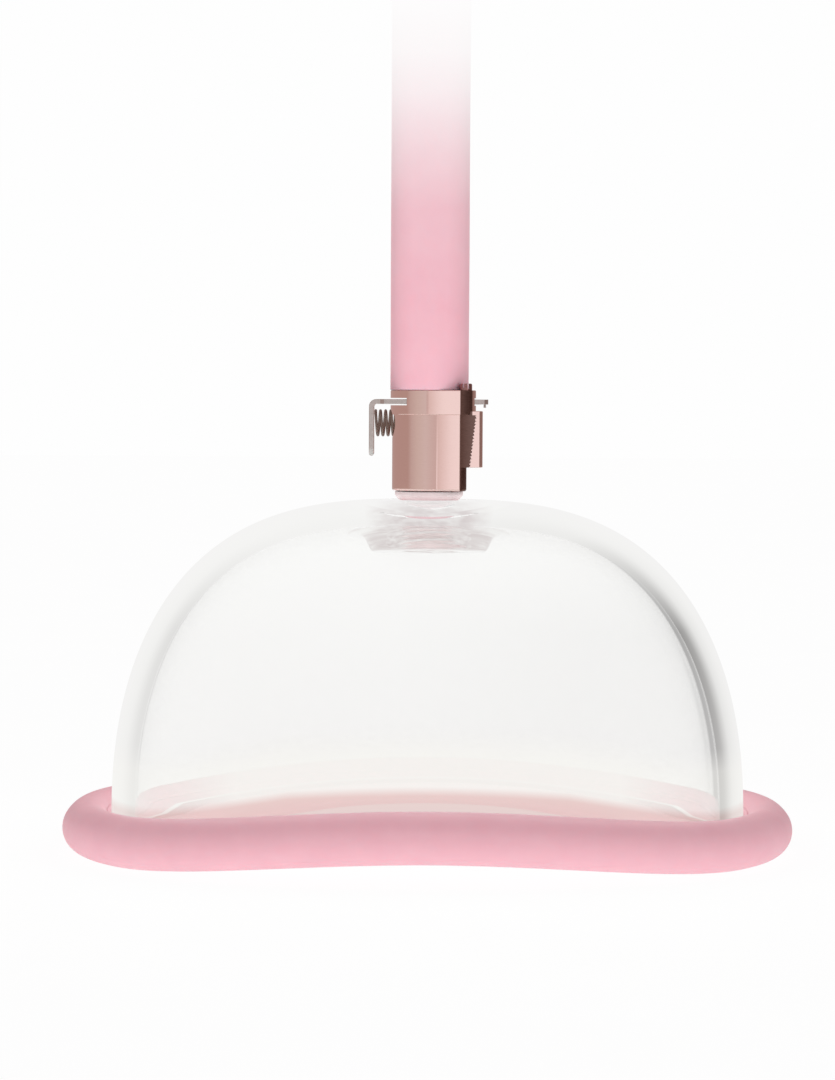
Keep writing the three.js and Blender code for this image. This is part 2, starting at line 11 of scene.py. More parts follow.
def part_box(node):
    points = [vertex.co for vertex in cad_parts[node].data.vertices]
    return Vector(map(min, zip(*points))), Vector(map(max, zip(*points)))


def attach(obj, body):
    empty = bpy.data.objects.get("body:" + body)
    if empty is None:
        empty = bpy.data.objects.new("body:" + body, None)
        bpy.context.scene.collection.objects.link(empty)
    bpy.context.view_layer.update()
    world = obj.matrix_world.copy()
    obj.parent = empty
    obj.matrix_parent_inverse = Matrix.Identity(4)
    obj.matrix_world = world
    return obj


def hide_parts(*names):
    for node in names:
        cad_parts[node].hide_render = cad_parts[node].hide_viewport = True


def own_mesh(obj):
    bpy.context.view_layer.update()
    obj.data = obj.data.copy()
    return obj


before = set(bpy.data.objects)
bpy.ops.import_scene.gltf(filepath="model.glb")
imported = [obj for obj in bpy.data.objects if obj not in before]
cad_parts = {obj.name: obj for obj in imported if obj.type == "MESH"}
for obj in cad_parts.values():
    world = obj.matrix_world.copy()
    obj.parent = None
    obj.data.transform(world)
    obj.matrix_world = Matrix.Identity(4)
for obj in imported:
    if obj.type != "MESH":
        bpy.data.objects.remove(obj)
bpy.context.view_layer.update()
MM = 0.001


def box_mm(node):
    """The lowest and highest corner of a CAD node, in millimetres."""
    low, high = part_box(node)
    return np.array(low) / MM, np.array(high) / MM


# ---- sizes in millimetres, worked out from the frame where a node gives them --------------

RIM_HIGH = box_mm("rim_seal")[1]
BODY_LOW, BODY_HIGH = box_mm("coupling_body")
PLATE_LOW, PLATE_HIGH = box_mm("latch_plate")
NIPPLE_LOW, NIPPLE_HIGH = box_mm("threaded_nipple")
POPPET_LOW, POPPET_HIGH = box_mm("valve_poppet")
INSERT_LOW, INSERT_HIGH = box_mm("hose_insert")
HOSE_LOW, HOSE_HIGH = box_mm("hose")
PIN_LOW, PIN_HIGH = box_mm("cocking_pin")

# Rim and foot.
RIM_OVERHANG = 8.0
RIM_HEIGHT = 8.2
FOOT_LENGTH = round(RIM_HIGH[0]) - RIM_OVERHANG
FOOT_DEPTH = round(RIM_HIGH[1], 1) + 0.1 - RIM_OVERHANG
FOOT_BOTTOM = 3.2
SADDLE_RISE = 2.9
SADDLE_REACH = 45.0
PLAN_POWER = 2.4

# Dome.
DOME_TOP = 57.9
DOME_FOOT = 6.2
DOME_WALL = 3.8
DOME_SIDE_POWER = 3.0
DOME_CROWN_POWER = 2.2
BEAD_WIDTH = 1.2
BEAD_TOP = 5.0
SEAT_RADIUS = 6.3
SEAT_HEIGHT = 56.4
BOSS_RADIUS = 11.0
BOSS_BOTTOM = 49.8

# Nipple and its threads.
THREAD_ROOT = 4.2
THREAD_DEPTH = 0.55
THREAD_PITCH = 1.4
THREAD_GAP = 0.12
THREAD_END = 52.2
FLANGE_BOTTOM = 57.2
FLANGE_TOP = 59.2
UPPER_THREAD = 60.4

# Coupling body, outside.
BARREL_BOTTOM = BODY_LOW[2]
BARREL_RADIUS = 6.1
BARREL_FLAT = 1.15
COLLAR_BOTTOM = 71.75
COLLAR_TOP = BODY_HIGH[2]
COLLAR_RADIUS = -BODY_LOW[0]
COLLAR_RIGHT = 7.6
COLLAR_FLAT = -0.5
LUG_BOTTOM = 63.2
LUG_TOP = 72.4
LUG_RIGHT = BODY_HIGH[0]
BARREL_FRONT = math.sqrt(BARREL_RADIUS ** 2 - BARREL_FLAT ** 2)
COLLAR_FRONT = math.sqrt(COLLAR_RADIUS ** 2 - COLLAR_FLAT ** 2)
HOLLOW_LEFT = 5.0
HOLLOW_DEPTH = 0.15

# Coupling body, inside.
SEAL_RECESS_RADIUS = 5.5
BODY_THREAD_END = 63.0
CHAMBER_RADIUS = 3.7
CHAMBER_TOP = 66.9
VALVE_OPENING = 2.4
SOCKET_RADIUS = 3.5
SOCKET_BOTTOM = 67.5
SPRING_HEIGHT = 70.4
POCKET_FACE = -5.4
POCKET_RADIUS = 2.4
WELL_RADIUS = 0.7
WELL_BOTTOM = 65.2
PIN_RECESS_RADIUS = 1.15
PIN_RECESS_DEPTH = 0.8

# Latch plate and pin.
TAB_OUTER = PLATE_LOW[0]
TAB_BOTTOM = PLATE_LOW[2]
TAB_HALF_WIDTH = 4.0
TAB_ROUND = 0.4
PLATE_RIGHT = PLATE_HIGH[0]
PLATE_TOP = PLATE_HIGH[2]
PLATE_HALF_WIDTH = PLATE_HIGH[1]
PLATE_THICKNESS = 0.8
PLATE_HOLE_RADIUS = 3.6
PLATE_HOLE_X = -1.2
BEND_RADIUS = 1.2
SLOT_MIDDLE = PLATE_TOP - PLATE_THICKNESS / 2
PIN_PLACE = ((PIN_LOW + PIN_HIGH) / 2)[:2]

# How far the pieces that press on springs travel.
PIN_TRAVEL = 0.6
VALVE_TRAVEL = 0.5

# Steps round the cup's plan and round a turned piece.
PLAN_STEPS = 240
ROUND_STEPS = 96


# ---- mesh helpers -------------------------------------------------------------------------

LYING = Matrix.Rotation(-math.pi / 2, 4, "Y")


def full_turn(steps):
    return np.linspace(0, 2 * np.pi, steps, endpoint=False)


PLAN_ANGLES = full_turn(PLAN_STEPS)
ROUND_ANGLES = full_turn(ROUND_STEPS)


def finish_mesh(name, mesh, sharp_degrees):
    """An object whose faces point out and whose edges past an angle are sharp."""
    made = bmesh.new()
    made.from_mesh(mesh)
    bmesh.ops.remove_doubles(made, verts=made.verts, dist=1e-7)
    bmesh.ops.recalc_face_normals(made, faces=made.faces)
    made.to_mesh(mesh)
    made.free()
    for polygon in mesh.polygons:
        polygon.use_smooth = True
    mesh.set_sharp_from_angle(angle=math.radians(sharp_degrees))
    thing = bpy.data.objects.new(name, mesh)
    bpy.context.scene.collection.objects.link(thing)
    return thing


def skin(name, rows, looped, sharp_degrees=40):
    """A mesh over rows of points in millimetres; each row closes on itself.
    A looped skin joins its last row to its first, otherwise each end is closed by a fan."""
    rows = np.array(rows, float)
    count, steps = rows.shape[:2]
    points = list(rows.reshape(-1, 3) * MM)
    faces = []
    for row in range(count if looped else count - 1):
        after = (row + 1) % count
        for i in range(steps):
            j = (i + 1) % steps
            faces.append((row * steps + i, row * steps + j, after * steps + j, after * steps + i))
    if not looped:
        for row in (0, count - 1):
            points.append(rows[row].mean(axis=0) * MM)
            tip = len(points) - 1
            faces += [(row * steps + i, row * steps + (i + 1) % steps, tip) for i in range(steps)]
    mesh = bpy.data.meshes.new(name)
    mesh.from_pydata([tuple(p) for p in points], [], faces)
    return finish_mesh(name, mesh, sharp_degrees)


def rounded(corners, closed=True, steps=5):
    """Points of an outline of (x, y, fillet radius) corners, with each fillet as an arc."""
    points = []
    for i, (x, y, fillet) in enumerate(corners):
        here = np.array((x, y), float)
        if fillet == 0 or (not closed and i in (0, len(corners) - 1)):
            points.append(here)
            continue
        before = np.array(corners[i - 1][:2], float) - here
        after = np.array(corners[(i + 1) % len(corners)][:2], float) - here
        before /= np.linalg.norm(before)
        after /= np.linalg.norm(after)
        half = math.acos(max(-1.0, min(1.0, float(before @ after)))) / 2
        middle = here + (before + after) / np.linalg.norm(before + after) * fillet / math.sin(half)
        start = here + before * fillet / math.tan(half) - middle
        end = here + after * fillet / math.tan(half) - middle
        sweep = math.pi - 2 * half
        for t in np.linspace(0, 1, steps + 1):
            share = math.sin((1 - t) * sweep) * start + math.sin(t * sweep) * end
            points.append(middle + share / math.sin(sweep))
    return points


def circle_row(radius, height, angles=ROUND_ANGLES):
    radius = np.broadcast_to(radius, angles.shape)
    height = np.broadcast_to(height, angles.shape)
    return np.stack([radius * np.cos(angles), radius * np.sin(angles), height], axis=1)


def turned(name, corners, looped=True, sharp_degrees=40):
    """A piece turned about the Z axis from (radius, z, fillet) corners."""
    rows = [circle_row(radius, z) for radius, z in rounded(corners, closed=looped)]
    return skin(name, rows, looped, sharp_degrees)


def sweep_tube(name, path, radius, sides=14):
    """A round wire along a path of points, closed at both ends."""
    path = np.array(path, float)
    tangent = np.gradient(path, axis=0)
    tangent /= np.linalg.norm(tangent, axis=1)[:, None]
    side = np.cross(tangent[0], (0.0, 0.0, 1.0))
    rows = []
    for point, along in zip(path, tangent):
        side = side - (side @ along) * along
        side /= np.linalg.norm(side)
        other = np.cross(along, side)
        turn = full_turn(sides)[:, None]
        rows.append(point + radius * (np.cos(turn) * side + np.sin(turn) * other))
    return skin(name, rows, looped=False, sharp_degrees=60)


def coil_path(radius, length, turns, closed_ends=0.8, samples=40):
    """A coil about Z from 0 to length; its end turns lie flat."""
    t = np.linspace(0, 1, int(turns * samples))
    angle = t * turns * 2 * np.pi
    flat = closed_ends / turns
    rise = np.clip((t - flat) / (1 - 2 * flat), 0, 1)
    rise = 0.85 * rise + 0.15 * t
    return np.stack([radius * np.cos(angle), radius * np.sin(angle), length * rise], axis=1)


def moved(points, matrix):
    return np.array([matrix @ Vector(p) for p in points])


def cut(thing, cutters, mode="DIFFERENCE"):
    """Takes the cutters away from a thing, or joins them, and applies the result."""
    for cutter in cutters:
        change = thing.modifiers.new("cut", "BOOLEAN")
        change.operation = mode
        change.solver = "EXACT"
        change.object = cutter
    graph = bpy.context.evaluated_depsgraph_get()
    mesh = bpy.data.meshes.new_from_object(thing.evaluated_get(graph))
    name = thing.name
    bpy.data.objects.remove(thing)
    for cutter in cutters:
        bpy.data.objects.remove(cutter)
    return finish_mesh(name, mesh, 30)


def block(name, low, high, corner=0.0):
    """An upright block with rounded upright corners, used as a cutter or an ear."""
    (x0, y0, z0), (x1, y1, z1) = low, high
    corners = [(x0, y0, corner), (x1, y0, corner), (x1, y1, corner), (x0, y1, corner)]
    outline = rounded(corners)
    rows = [[(x, y, z) for x, y in outline] for z in (z0, z1)]
    return skin(name, rows, looped=False)


def rod(name, radius, low, high, place=(0.0, 0.0)):
    offset = np.array((*place, 0.0))
    rows = [circle_row(radius, z, full_turn(48)) + offset for z in (low, high)]
    return skin(name, rows, looped=False)


def settle(thing, body, material, node):
    """Gives a piece its material and body, in place of a CAD node."""
    thing.data.materials.clear()
    thing.data.materials.append(material)
    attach(thing, body)
    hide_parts(node)
    return thing


# ---- colour and node helpers --------------------------------------------------------------

def grey(value):
    return value, value, value


def srgb(red, green, blue):
    """Linear colour of an 8-bit display colour."""
    def linear(value):
        value /= 255
        return value / 12.92 if value <= 0.04045 else ((value + 0.055) / 1.055) ** 2.4
    return linear(red), linear(green), linear(blue)


class Nodes:
    """Short calls for building the node tree of a new material, or of a new world."""

    def __init__(self, name, world=False):
        self.owner = (bpy.data.worlds if world else bpy.data.materials).new(name)
        self.owner.use_nodes = True
        self.tree = self.owner.node_tree
        self.tree.nodes.clear()
        self.output = self.add("ShaderNodeOutputWorld" if world else "ShaderNodeOutputMaterial")

    @property
    def place(self):
        """The shaded point, in metres."""
        return self.add("ShaderNodeNewGeometry").outputs["Position"]

    @property
    def facing(self):
        """0 where a face looks at the viewer, up to 1 where it is seen edge-on."""
        return self.add("ShaderNodeLayerWeight").outputs["Facing"]

    def add(self, kind, **values):
        node = self.tree.nodes.new(kind)
        for key, value in values.items():
            setattr(node, key, value)
        return node

    def feed(self, socket, value):
        """Links an output to a socket, or sets the socket's own value."""
        if isinstance(value, bpy.types.NodeSocket):
            self.tree.links.new(value, socket)
        elif socket.type == "RGBA":
            socket.default_value = (*value, 1.0)
        else:
            socket.default_value = value

    def set(self, node, **inputs):
        for key, value in inputs.items():
            self.feed(node.inputs[key.replace("_", " ")], value)
        return node

    def in_order(self, node, values):
        """Feeds a node's inputs in the order they come."""
        for socket, value in zip(node.inputs, values):
            self.feed(socket, value)
        return node

    def noise(self, scale, detail=3.0, stretch=(1.0, 1.0, 1.0)):
        """Noise in metres; the scale is in cells per metre."""
        mapping = self.add("ShaderNodeMapping")
        self.set(mapping, Vector=self.place, Scale=stretch)
        noise = self.add("ShaderNodeTexNoise")
        self.set(noise, Vector=mapping.outputs["Vector"], Scale=scale, Detail=detail)
        return noise.outputs["Fac"]

    def ramp(self, factor, stops):
        node = self.add("ShaderNodeValToRGB")
        while len(node.color_ramp.elements) < len(stops):
            node.color_ramp.elements.new(0.5)
        for element, (place, colour) in zip(node.color_ramp.elements, stops):
            element.position = place
            element.color = (*colour, 1.0)
        self.set(node, Fac=factor)
        return node.outputs["Color"]

    def mottle(self, noise, deep, light):
        """Two tones of a colour, blended softly by a noise."""
        return self.ramp(noise, [(0.3, deep), (0.7, light)])

    def scaled(self, value, low, high, into_low, into_high):
        node = self.add("ShaderNodeMapRange")
        self.set(node, Value=value, From_Min=low, From_Max=high, To_Min=into_low, To_Max=into_high)
        return node.outputs["Result"]

    def math(self, operation, *values):
        node = self.add("ShaderNodeMath", operation=operation)
        return self.in_order(node, values).outputs["Value"]

    def vector_math(self, operation, *values):
        node = self.add("ShaderNodeVectorMath", operation=operation)
        return self.in_order(node, values).outputs["Vector"]

    def split(self, vector):
        node = self.in_order(self.add("ShaderNodeSeparateXYZ"), [vector])
        return node.outputs["X"], node.outputs["Y"], node.outputs["Z"]

    def blend(self, share, first, second):
        """Two colours blended by a share; the colour sockets of the node are 6, 7 and 2."""
        node = self.add("ShaderNodeMix", data_type="RGBA")
        self.set(node, Factor=share)
        self.feed(node.inputs[6], first)
        self.feed(node.inputs[7], second)
        return node.outputs[2]

    def mix(self, share, first, second):
        node = self.add("ShaderNodeMixShader")
        return self.in_order(node, [share, first, second]).outputs["Shader"]

    def glow(self, colour, strength=1.0):
        node = self.add("ShaderNodeEmission")
        return self.set(node, Color=colour, Strength=strength).outputs["Emission"]

    def bump(self, height, strength, distance, **normal):
        node = self.add("ShaderNodeBump")
        self.set(node, Height=height, Strength=strength, Distance=distance, **normal)
        return node.outputs["Normal"]

    def principled(self, **inputs):
        return self.set(self.add("ShaderNodeBsdfPrincipled"), **inputs).outputs["BSDF"]

    def finish(self, shader):
        """Makes a shader the surface and returns the finished material or world."""
        self.set(self.output, Surface=shader)
        return self.owner


# ---- materials ----------------------------------------------------------------------------

def silicone(name, light, deep, fine_scale, painted_edge_shade):
    """Soft satin silicone with a faint mottle and a moulded skin, with painted shade darkening it
    edge-on.
    """
    n = Nodes(name)
    # Painted shade: the colour is scaled down where the face is seen edge-on.
    shaded = n.add("ShaderNodeVectorMath", operation="SCALE")
    n.feed(shaded.inputs[0], n.mottle(n.noise(220.0, 4.0), deep, light))
    n.set(shaded, Scale=n.scaled(n.facing, 0.1, 0.6, 1.0, painted_edge_shade))
    return n.finish(n.principled(
        Base_Color=shaded.outputs["Vector"],
        Roughness=n.scaled(n.noise(900.0, 2.0), 0.3, 0.7, 0.42, 0.52),
        Normal=n.bump(n.noise(fine_scale, 3.0), 0.12, 0.00006),
        IOR=1.42,
        Subsurface_Weight=0.35,
        Subsurface_Scale=0.0018,
        Subsurface_Radius=(1.0, 0.45, 0.5),
    ))


ACRYLIC_IOR = 1.49
ACRYLIC_TINT = (0.992, 0.992, 0.989)
SHADOW_TINT = (0.95, 0.95, 0.945)

# Painted reflections, drawn as glowing colours: what the acrylic mirrors outside, then on its
# inner faces at the side, in the dark line and at the crown.
MIRRORED_STUDIO = (0.94, 0.94, 0.935)
MIRRORED_SIDE = (0.93, 0.93, 0.915)
MIRRORED_LINE = (0.12, 0.115, 0.11)
MIRRORED_CROWN = (0.60, 0.53, 0.53)
# How dark the painted reflected line is, by how far a face turns from the viewer.
LINE_SHARE = [(0.25, 1.0), (0.275, 0.85), (0.305, 0.25), (0.34, 0.0)]
# The middle and reach of the patch of painted pink reflection round the boss at the crown, in
# millimetres.
CROWN_MIDDLE = 56.0
CROWN_REACH = 9.0

# How strong the acrylic's painted glow is, and its tint, by height above its foot in millimetres.
PAINTED_GLOW_HEIGHT = 50.0
PAINTED_GLOW_SHARE = [(8.0, 0.80), (11.0, 0.93), (17.5, 0.95), (21.0, 0.50), (30.0, 0.36), (47.5, 0.04)]
# The tint paints the pink of the rim seen through the foot low down, and the grey seen through the
# wall higher up.
PAINTED_GLOW_TINT = [
    (8.0, (0.76, 0.57, 0.55)), (10.2, (0.79, 0.62, 0.59)), (11.6, (0.93, 0.92, 0.89)),
    (16.5, (0.92, 0.91, 0.88)), (21.0, (0.87, 0.855, 0.85)), (50.0, (0.885, 0.874, 0.87)),
]


def acrylic_painted_glow(n, x, z):
    """How strong the acrylic's painted glow is, and its tint: most at the foot, least at the
    crown, and more edge-on.
    """
    inward = n.math("MULTIPLY_ADD", n.math("POWER", x, 2.0), -1 / (SADDLE_REACH * MM) ** 2, 1.0)
    arch = n.math("POWER", n.math("MAXIMUM", inward, 0.0), 1.5)
    above_foot = n.math("MULTIPLY_ADD", arch, -SADDLE_RISE * MM, z)
    aside = n.math("ABSOLUTE", x)
    lift = n.scaled(aside, 22 * MM, 44 * MM, 0.0, 2.2 * MM)
    height = n.scaled(n.math("ADD", above_foot, lift), 0.0, PAINTED_GLOW_HEIGHT * MM, 0.0, 1.0)
    share = n.ramp(height, [(up / PAINTED_GLOW_HEIGHT, grey(value)) for up, value in PAINTED_GLOW_SHARE])
    tint = n.ramp(height, [(up / PAINTED_GLOW_HEIGHT, colour) for up, colour in PAINTED_GLOW_TINT])
    thinner = n.scaled(aside, 30 * MM, 46 * MM, 1.0, 0.62)
    edge_on = n.scaled(n.facing, 0.3, 0.95, 0.04, 0.40)
    return n.math("MAXIMUM", n.math("MULTIPLY", share, thinner), edge_on), tint


def inner_mirror(n, x, z):
    """Painted reflections on the acrylic's inner faces, as glowing colours: a white studio, whose
    dark side shows as a line where they just begin to mirror fully, mostly at the right and low
    down, and the coupling's pink tone in streaks round the boss."""
    line = n.ramp(n.facing, [(turned_away, grey(value)) for turned_away, value in LINE_SHARE])
    rightward = n.scaled(x, -5 * MM, 25 * MM, 0.3, 1.0)
    low_down = n.scaled(z, 36 * MM, 50 * MM, 1.0, 0.15)
    dark = n.math("MULTIPLY", line, n.math("MULTIPLY", rightward, low_down))
    scale = 1 / (CROWN_REACH * MM)
    across = n.math("POWER", n.math("MULTIPLY", x, scale), 2.0)
    below = n.math("POWER", n.math("MULTIPLY_ADD", z, scale, -CROWN_MIDDLE / CROWN_REACH), 2.0)
    at_crown = n.scaled(n.math("ADD", across, below), 0.5, 1.4, 1.0, 0.0)
    streaks = n.scaled(n.noise(420.0, 3.0, (1.0, 1.0, 2.5)), 0.35, 0.65, 0.35, 1.0)
    side = n.mix(dark, n.glow(MIRRORED_SIDE), n.glow(MIRRORED_LINE))
    return n.mix(n.math("MULTIPLY", at_crown, streaks), side, n.glow(MIRRORED_CROWN))


def clear_acrylic():
    """Clear moulded acrylic with a faint ripple. It mirrors an even white studio as a painted
    reflection, its painted glow shows to the camera only, and soft light passes straight through
    to what is inside."""
    n = Nodes("clear_acrylic")
    x, _, z = n.split(n.place)
    ripple = n.bump(n.noise(45.0, 1.0), 0.05, 0.0004)
    glass = n.add("ShaderNodeBsdfRefraction")
    frost = n.scaled(n.noise(1500.0, 3.0), 0.45, 0.75, 0.0, 0.02)
    n.set(glass, Color=ACRYLIC_TINT, IOR=ACRYLIC_IOR, Normal=ripple, Roughness=frost)
    fresnel = n.set(n.add("ShaderNodeFresnel"), IOR=ACRYLIC_IOR, Normal=ripple)
    inside = n.add("ShaderNodeNewGeometry").outputs["Backfacing"]
    # Painted reflection: the mirrored studio outside and on the inner faces is a glow, not a true
    # mirror.
    mirrored = n.mix(inside, n.glow(MIRRORED_STUDIO), inner_mirror(n, x, z))
    clear = n.mix(fresnel.outputs["Fac"], glass.outputs["BSDF"], mirrored)
    path = n.add("ShaderNodeLightPath").outputs
    # Painted light: a glow seen by the camera only stands in for what shows through the acrylic,
    # such as the rim's pink at its foot.
    share, tint = acrylic_painted_glow(n, x, z)
    with_painted_glow = n.mix(n.math("MULTIPLY", share, path["Is Camera Ray"]), clear, n.glow(tint))
    through = n.set(n.add("ShaderNodeBsdfTransparent"), Color=SHADOW_TINT)
    soft = n.math("MAXIMUM", path["Is Shadow Ray"], path["Is Diffuse Ray"])
    return n.finish(n.mix(soft, with_painted_glow, through.outputs["BSDF"]))


def milky_nylon():
    """Milky see-through plastic."""
    n = Nodes("milky_nylon")
    return n.finish(n.principled(
        Base_Color=n.mottle(n.noise(500.0, 3.0), srgb(220, 203, 204), srgb(232, 217, 218)),
        Roughness=0.28,
        IOR=1.5,
        Normal=n.bump(n.noise(2500.0, 2.0), 0.1, 0.00003),
        Subsurface_Weight=0.3,
        Subsurface_Scale=0.001,
        Subsurface_Radius=(1.0, 0.9, 0.9),
    ))


# The right end of the painted dark reflection on the barrel and on the collar, the depth from
# which it counts as
# sunk, and how the milled flats lean: their length, and the lean at their start and end.
HOLLOW_REFLECTION_END = 8.0
COLLAR_REFLECTION_END = 7.0
SUNK_FROM = 0.08
FLAT_LENGTH = 3.6
FLAT_LEAN = (0.18, 0.30)


def painted_dark_reflection(n, x, y, z):
    """Where a painted dark reflection darkens the metal: in the shallow hollow beside the lug and
    at the corners by it.
    """
    on_collar = n.math("GREATER_THAN", z, COLLAR_BOTTOM * MM)
    from_barrel = n.math("MULTIPLY_ADD", on_collar, (COLLAR_FRONT - BARREL_FRONT) * MM, y)
    sunk = n.math("GREATER_THAN", from_barrel, (SUNK_FROM - BARREL_FRONT) * MM)
    at_front = n.math("LESS_THAN", y, -3 * MM)
    past_left = n.math("GREATER_THAN", x, (HOLLOW_LEFT - 0.02) * MM)
    end = n.math(
        "MULTIPLY_ADD", on_collar, (COLLAR_REFLECTION_END - HOLLOW_REFLECTION_END) * MM, HOLLOW_REFLECTION_END * MM)
    before_end = n.math("LESS_THAN", x, end)
    fading = n.scaled(x, HOLLOW_LEFT * MM, 7.6 * MM, 1.0, 0.88)
    across = n.math("MULTIPLY", n.math("MULTIPLY", past_left, before_end), fading)
    return n.math("MULTIPLY", across, n.math("MULTIPLY", sunk, at_front))


def leaning_flats(n, x, z):
    """The shading normal of the milled flats, which lean a little from the round left side."""
    normal = n.add("ShaderNodeNewGeometry").outputs["Normal"]
    on_collar = n.scaled(z, (COLLAR_BOTTOM - 0.03) * MM, (COLLAR_BOTTOM + 0.01) * MM, 0.0, 1.0)
    start = n.math(
        "MULTIPLY_ADD", on_collar, (COLLAR_FLAT - BARREL_FLAT) * MM, BARREL_FLAT * MM)
    past_start = n.math("SUBTRACT", x, start)
    lean = n.scaled(past_start, 0.0, FLAT_LENGTH * MM, *FLAT_LEAN)
    on_flat = n.scaled(past_start, -0.02 * MM, 0.02 * MM, 0.0, 1.0)
    _, facing_front, _ = n.split(normal)
    upright = n.scaled(n.math("ABSOLUTE", facing_front), 0.9, 0.97, 0.0, 1.0)
    offset = n.add("ShaderNodeCombineXYZ")
    n.set(offset, X=n.math("MULTIPLY", n.math("MULTIPLY", lean, on_flat), upright))
    return n.vector_math("NORMALIZE", n.vector_math("ADD", normal, offset.outputs["Vector"]))


def rose_gold_body():
    """Polished rose gold, with a painted dark reflection in the hollow beside the lug. Its milled
    flats lean a little in the shading normal, because the pin's well leaves no wall to slope them."""
    n = Nodes("rose_gold_body")
    grain = n.noise(1400.0, 4.0, (1.0, 1.0, 14.0))
    x, y, z = n.split(n.place)
    # Painted dark reflection: the hollow mask and the dark colour below stand in for dark
    # surroundings mirrored in the hollow.
    hollow = painted_dark_reflection(n, x, y, z)
    polished = n.mottle(grain, (0.84, 0.64, 0.59), (0.87, 0.67, 0.62))
    dark = n.mottle(grain, (0.08, 0.04, 0.03), (0.14, 0.075, 0.06))
    return n.finish(n.principled(
        Base_Color=n.blend(hollow, polished, dark),
        Metallic=1.0,
        Roughness=n.math("MULTIPLY_ADD", hollow, 0.2, n.scaled(grain, 0.3, 0.7, 0.08, 0.13)),
        Normal=n.bump(grain, 0.015, 0.00002, Normal=leaning_flats(n, x, z)),
    ))


def polished_metal(name, light, deep, low_roughness, high_roughness, brush, strength):
    """Metal with a fine brushed grain whose stretch sets the brushing direction."""
    n = Nodes(name)
    grain = n.noise(1400.0, 4.0, brush)
    return n.finish(n.principled(
        Base_Color=n.mottle(grain, deep, light),
        Metallic=1.0,
        Roughness=n.scaled(grain, 0.3, 0.7, low_roughness, high_roughness),
        Normal=n.bump(grain, strength, 0.00002),
    ))


def plain_polymer(name, light, deep, roughness):
    """Moulded rubber or plastic with a fine grained skin."""
    n = Nodes(name)
    return n.finish(n.principled(
        Base_Color=n.mottle(n.noise(700.0, 4.0), deep, light),
        Roughness=roughness,
        Normal=n.bump(n.noise(3000.0, 2.0), 0.15, 0.00003),
    ))


# The last number is the painted edge shade: none on the rim, darker edges on the hose.
RIM_PINK = silicone("pink_silicone", srgb(246, 191, 202), srgb(243, 186, 198), 2600.0, 1.0)
HOSE_PINK = silicone("pink_hose", srgb(253, 196, 208), srgb(250, 191, 204), 3400.0, 0.80)
ACRYLIC = clear_acrylic()
NYLON = milky_nylon()
ROSE_GOLD = polished_metal(
    "rose_gold", (0.82, 0.62, 0.56), (0.80, 0.59, 0.53), 0.10, 0.16, (1.0, 1.0, 14.0), 0.05)
PIN_METAL = polished_metal(
    "dark_rose_gold", (0.42, 0.24, 0.23), (0.30, 0.16, 0.15), 0.16, 0.24, (1.0, 1.0, 6.0), 0.05)
STAINLESS = polished_metal(
    "stainless_steel", (0.66, 0.65, 0.63), (0.56, 0.55, 0.53), 0.22, 0.34, (1.0, 12.0, 1.0), 0.2)
SPRING_STEEL = polished_metal(
    "spring_steel", (0.27, 0.225, 0.195), (0.18, 0.15, 0.13), 0.18, 0.30, (4.0, 1.0, 1.0), 0.1)
RUBBER = plain_polymer("dark_rubber", (0.022, 0.02, 0.02), (0.012, 0.011, 0.011), 0.6)
WHITE_PLASTIC = plain_polymer("white_plastic", (0.80, 0.79, 0.76), (0.74, 0.73, 0.70), 0.38)


# ---- the cup's plan -----------------------------------------------------------------------

def signed_power(value, power):
    return np.sign(value) * np.abs(value) ** power


def plan(half_length, half_depth):
    """The squarish oval of the cup, as points of x and y."""
    return np.stack([
        half_length * signed_power(np.cos(PLAN_ANGLES), 2 / PLAN_POWER),
        half_depth * signed_power(np.sin(PLAN_ANGLES), 2 / PLAN_POWER),
    ], axis=1)


def saddle(x):
    return SADDLE_RISE * np.maximum(0, 1 - (x / SADDLE_REACH) ** 2) ** 1.5


FOOT_PLAN = plan(FOOT_LENGTH, FOOT_DEPTH)


def foot_row(outward, height):
    """A row round the foot of the cup, a distance out from the dome's outer face."""
    half = np.array((FOOT_LENGTH, FOOT_DEPTH))
    normal = signed_power(FOOT_PLAN / half, PLAN_POWER - 1) / half
    normal /= np.linalg.norm(normal, axis=1)[:, None]
    out = FOOT_PLAN + outward * normal
    return np.column_stack([out, height + saddle(FOOT_PLAN[:, 0])])


# ---- dome ---------------------------------------------------------------------------------

def dome_height(points, inset):
    """How far up the wall is, from 0 to 1, and its height, over points of x and y.
    The inset is 0 on the outer face."""
    share = np.abs(points) / np.array((FOOT_LENGTH - inset, FOOT_DEPTH - inset))
    width = np.minimum(1.0, (share ** PLAN_POWER).sum(axis=1) ** (1 / PLAN_POWER))
    climb = (1 - width ** DOME_SIDE_POWER) ** (1 / DOME_CROWN_POWER)
    return climb, DOME_FOOT + (DOME_TOP - DOME_FOOT - inset) * climb


def dome_row(points, inset, foot_x):
    climb, height = dome_height(points, inset)
    return np.column_stack([points, height + saddle(foot_x) * (1 - climb) ** 2])


def dome_rows(inset, inner_radius, count=44, blend_from=0.42):
    """Rows from the foot up to a circle round the crown. They turn from oval to round."""
    oval = plan(FOOT_LENGTH - inset, FOOT_DEPTH - inset)
    circle = circle_row(inner_radius, 0.0, PLAN_ANGLES)[:, :2]
    rows = []
    for rise in np.linspace(0, 1, count + 1)[1:]:
        angle = rise * math.acos(blend_from ** 1.5)
        width = math.cos(angle) ** (2 / DOME_SIDE_POWER)
        rows.append(dome_row(oval * width, inset, oval[:, 0]))
    for share in np.linspace(0, 1, 15)[1:]:
        points = oval * blend_from * (1 - share) + circle * share
        rows.append(dome_row(points, inset, oval[:, 0]))
    return rows


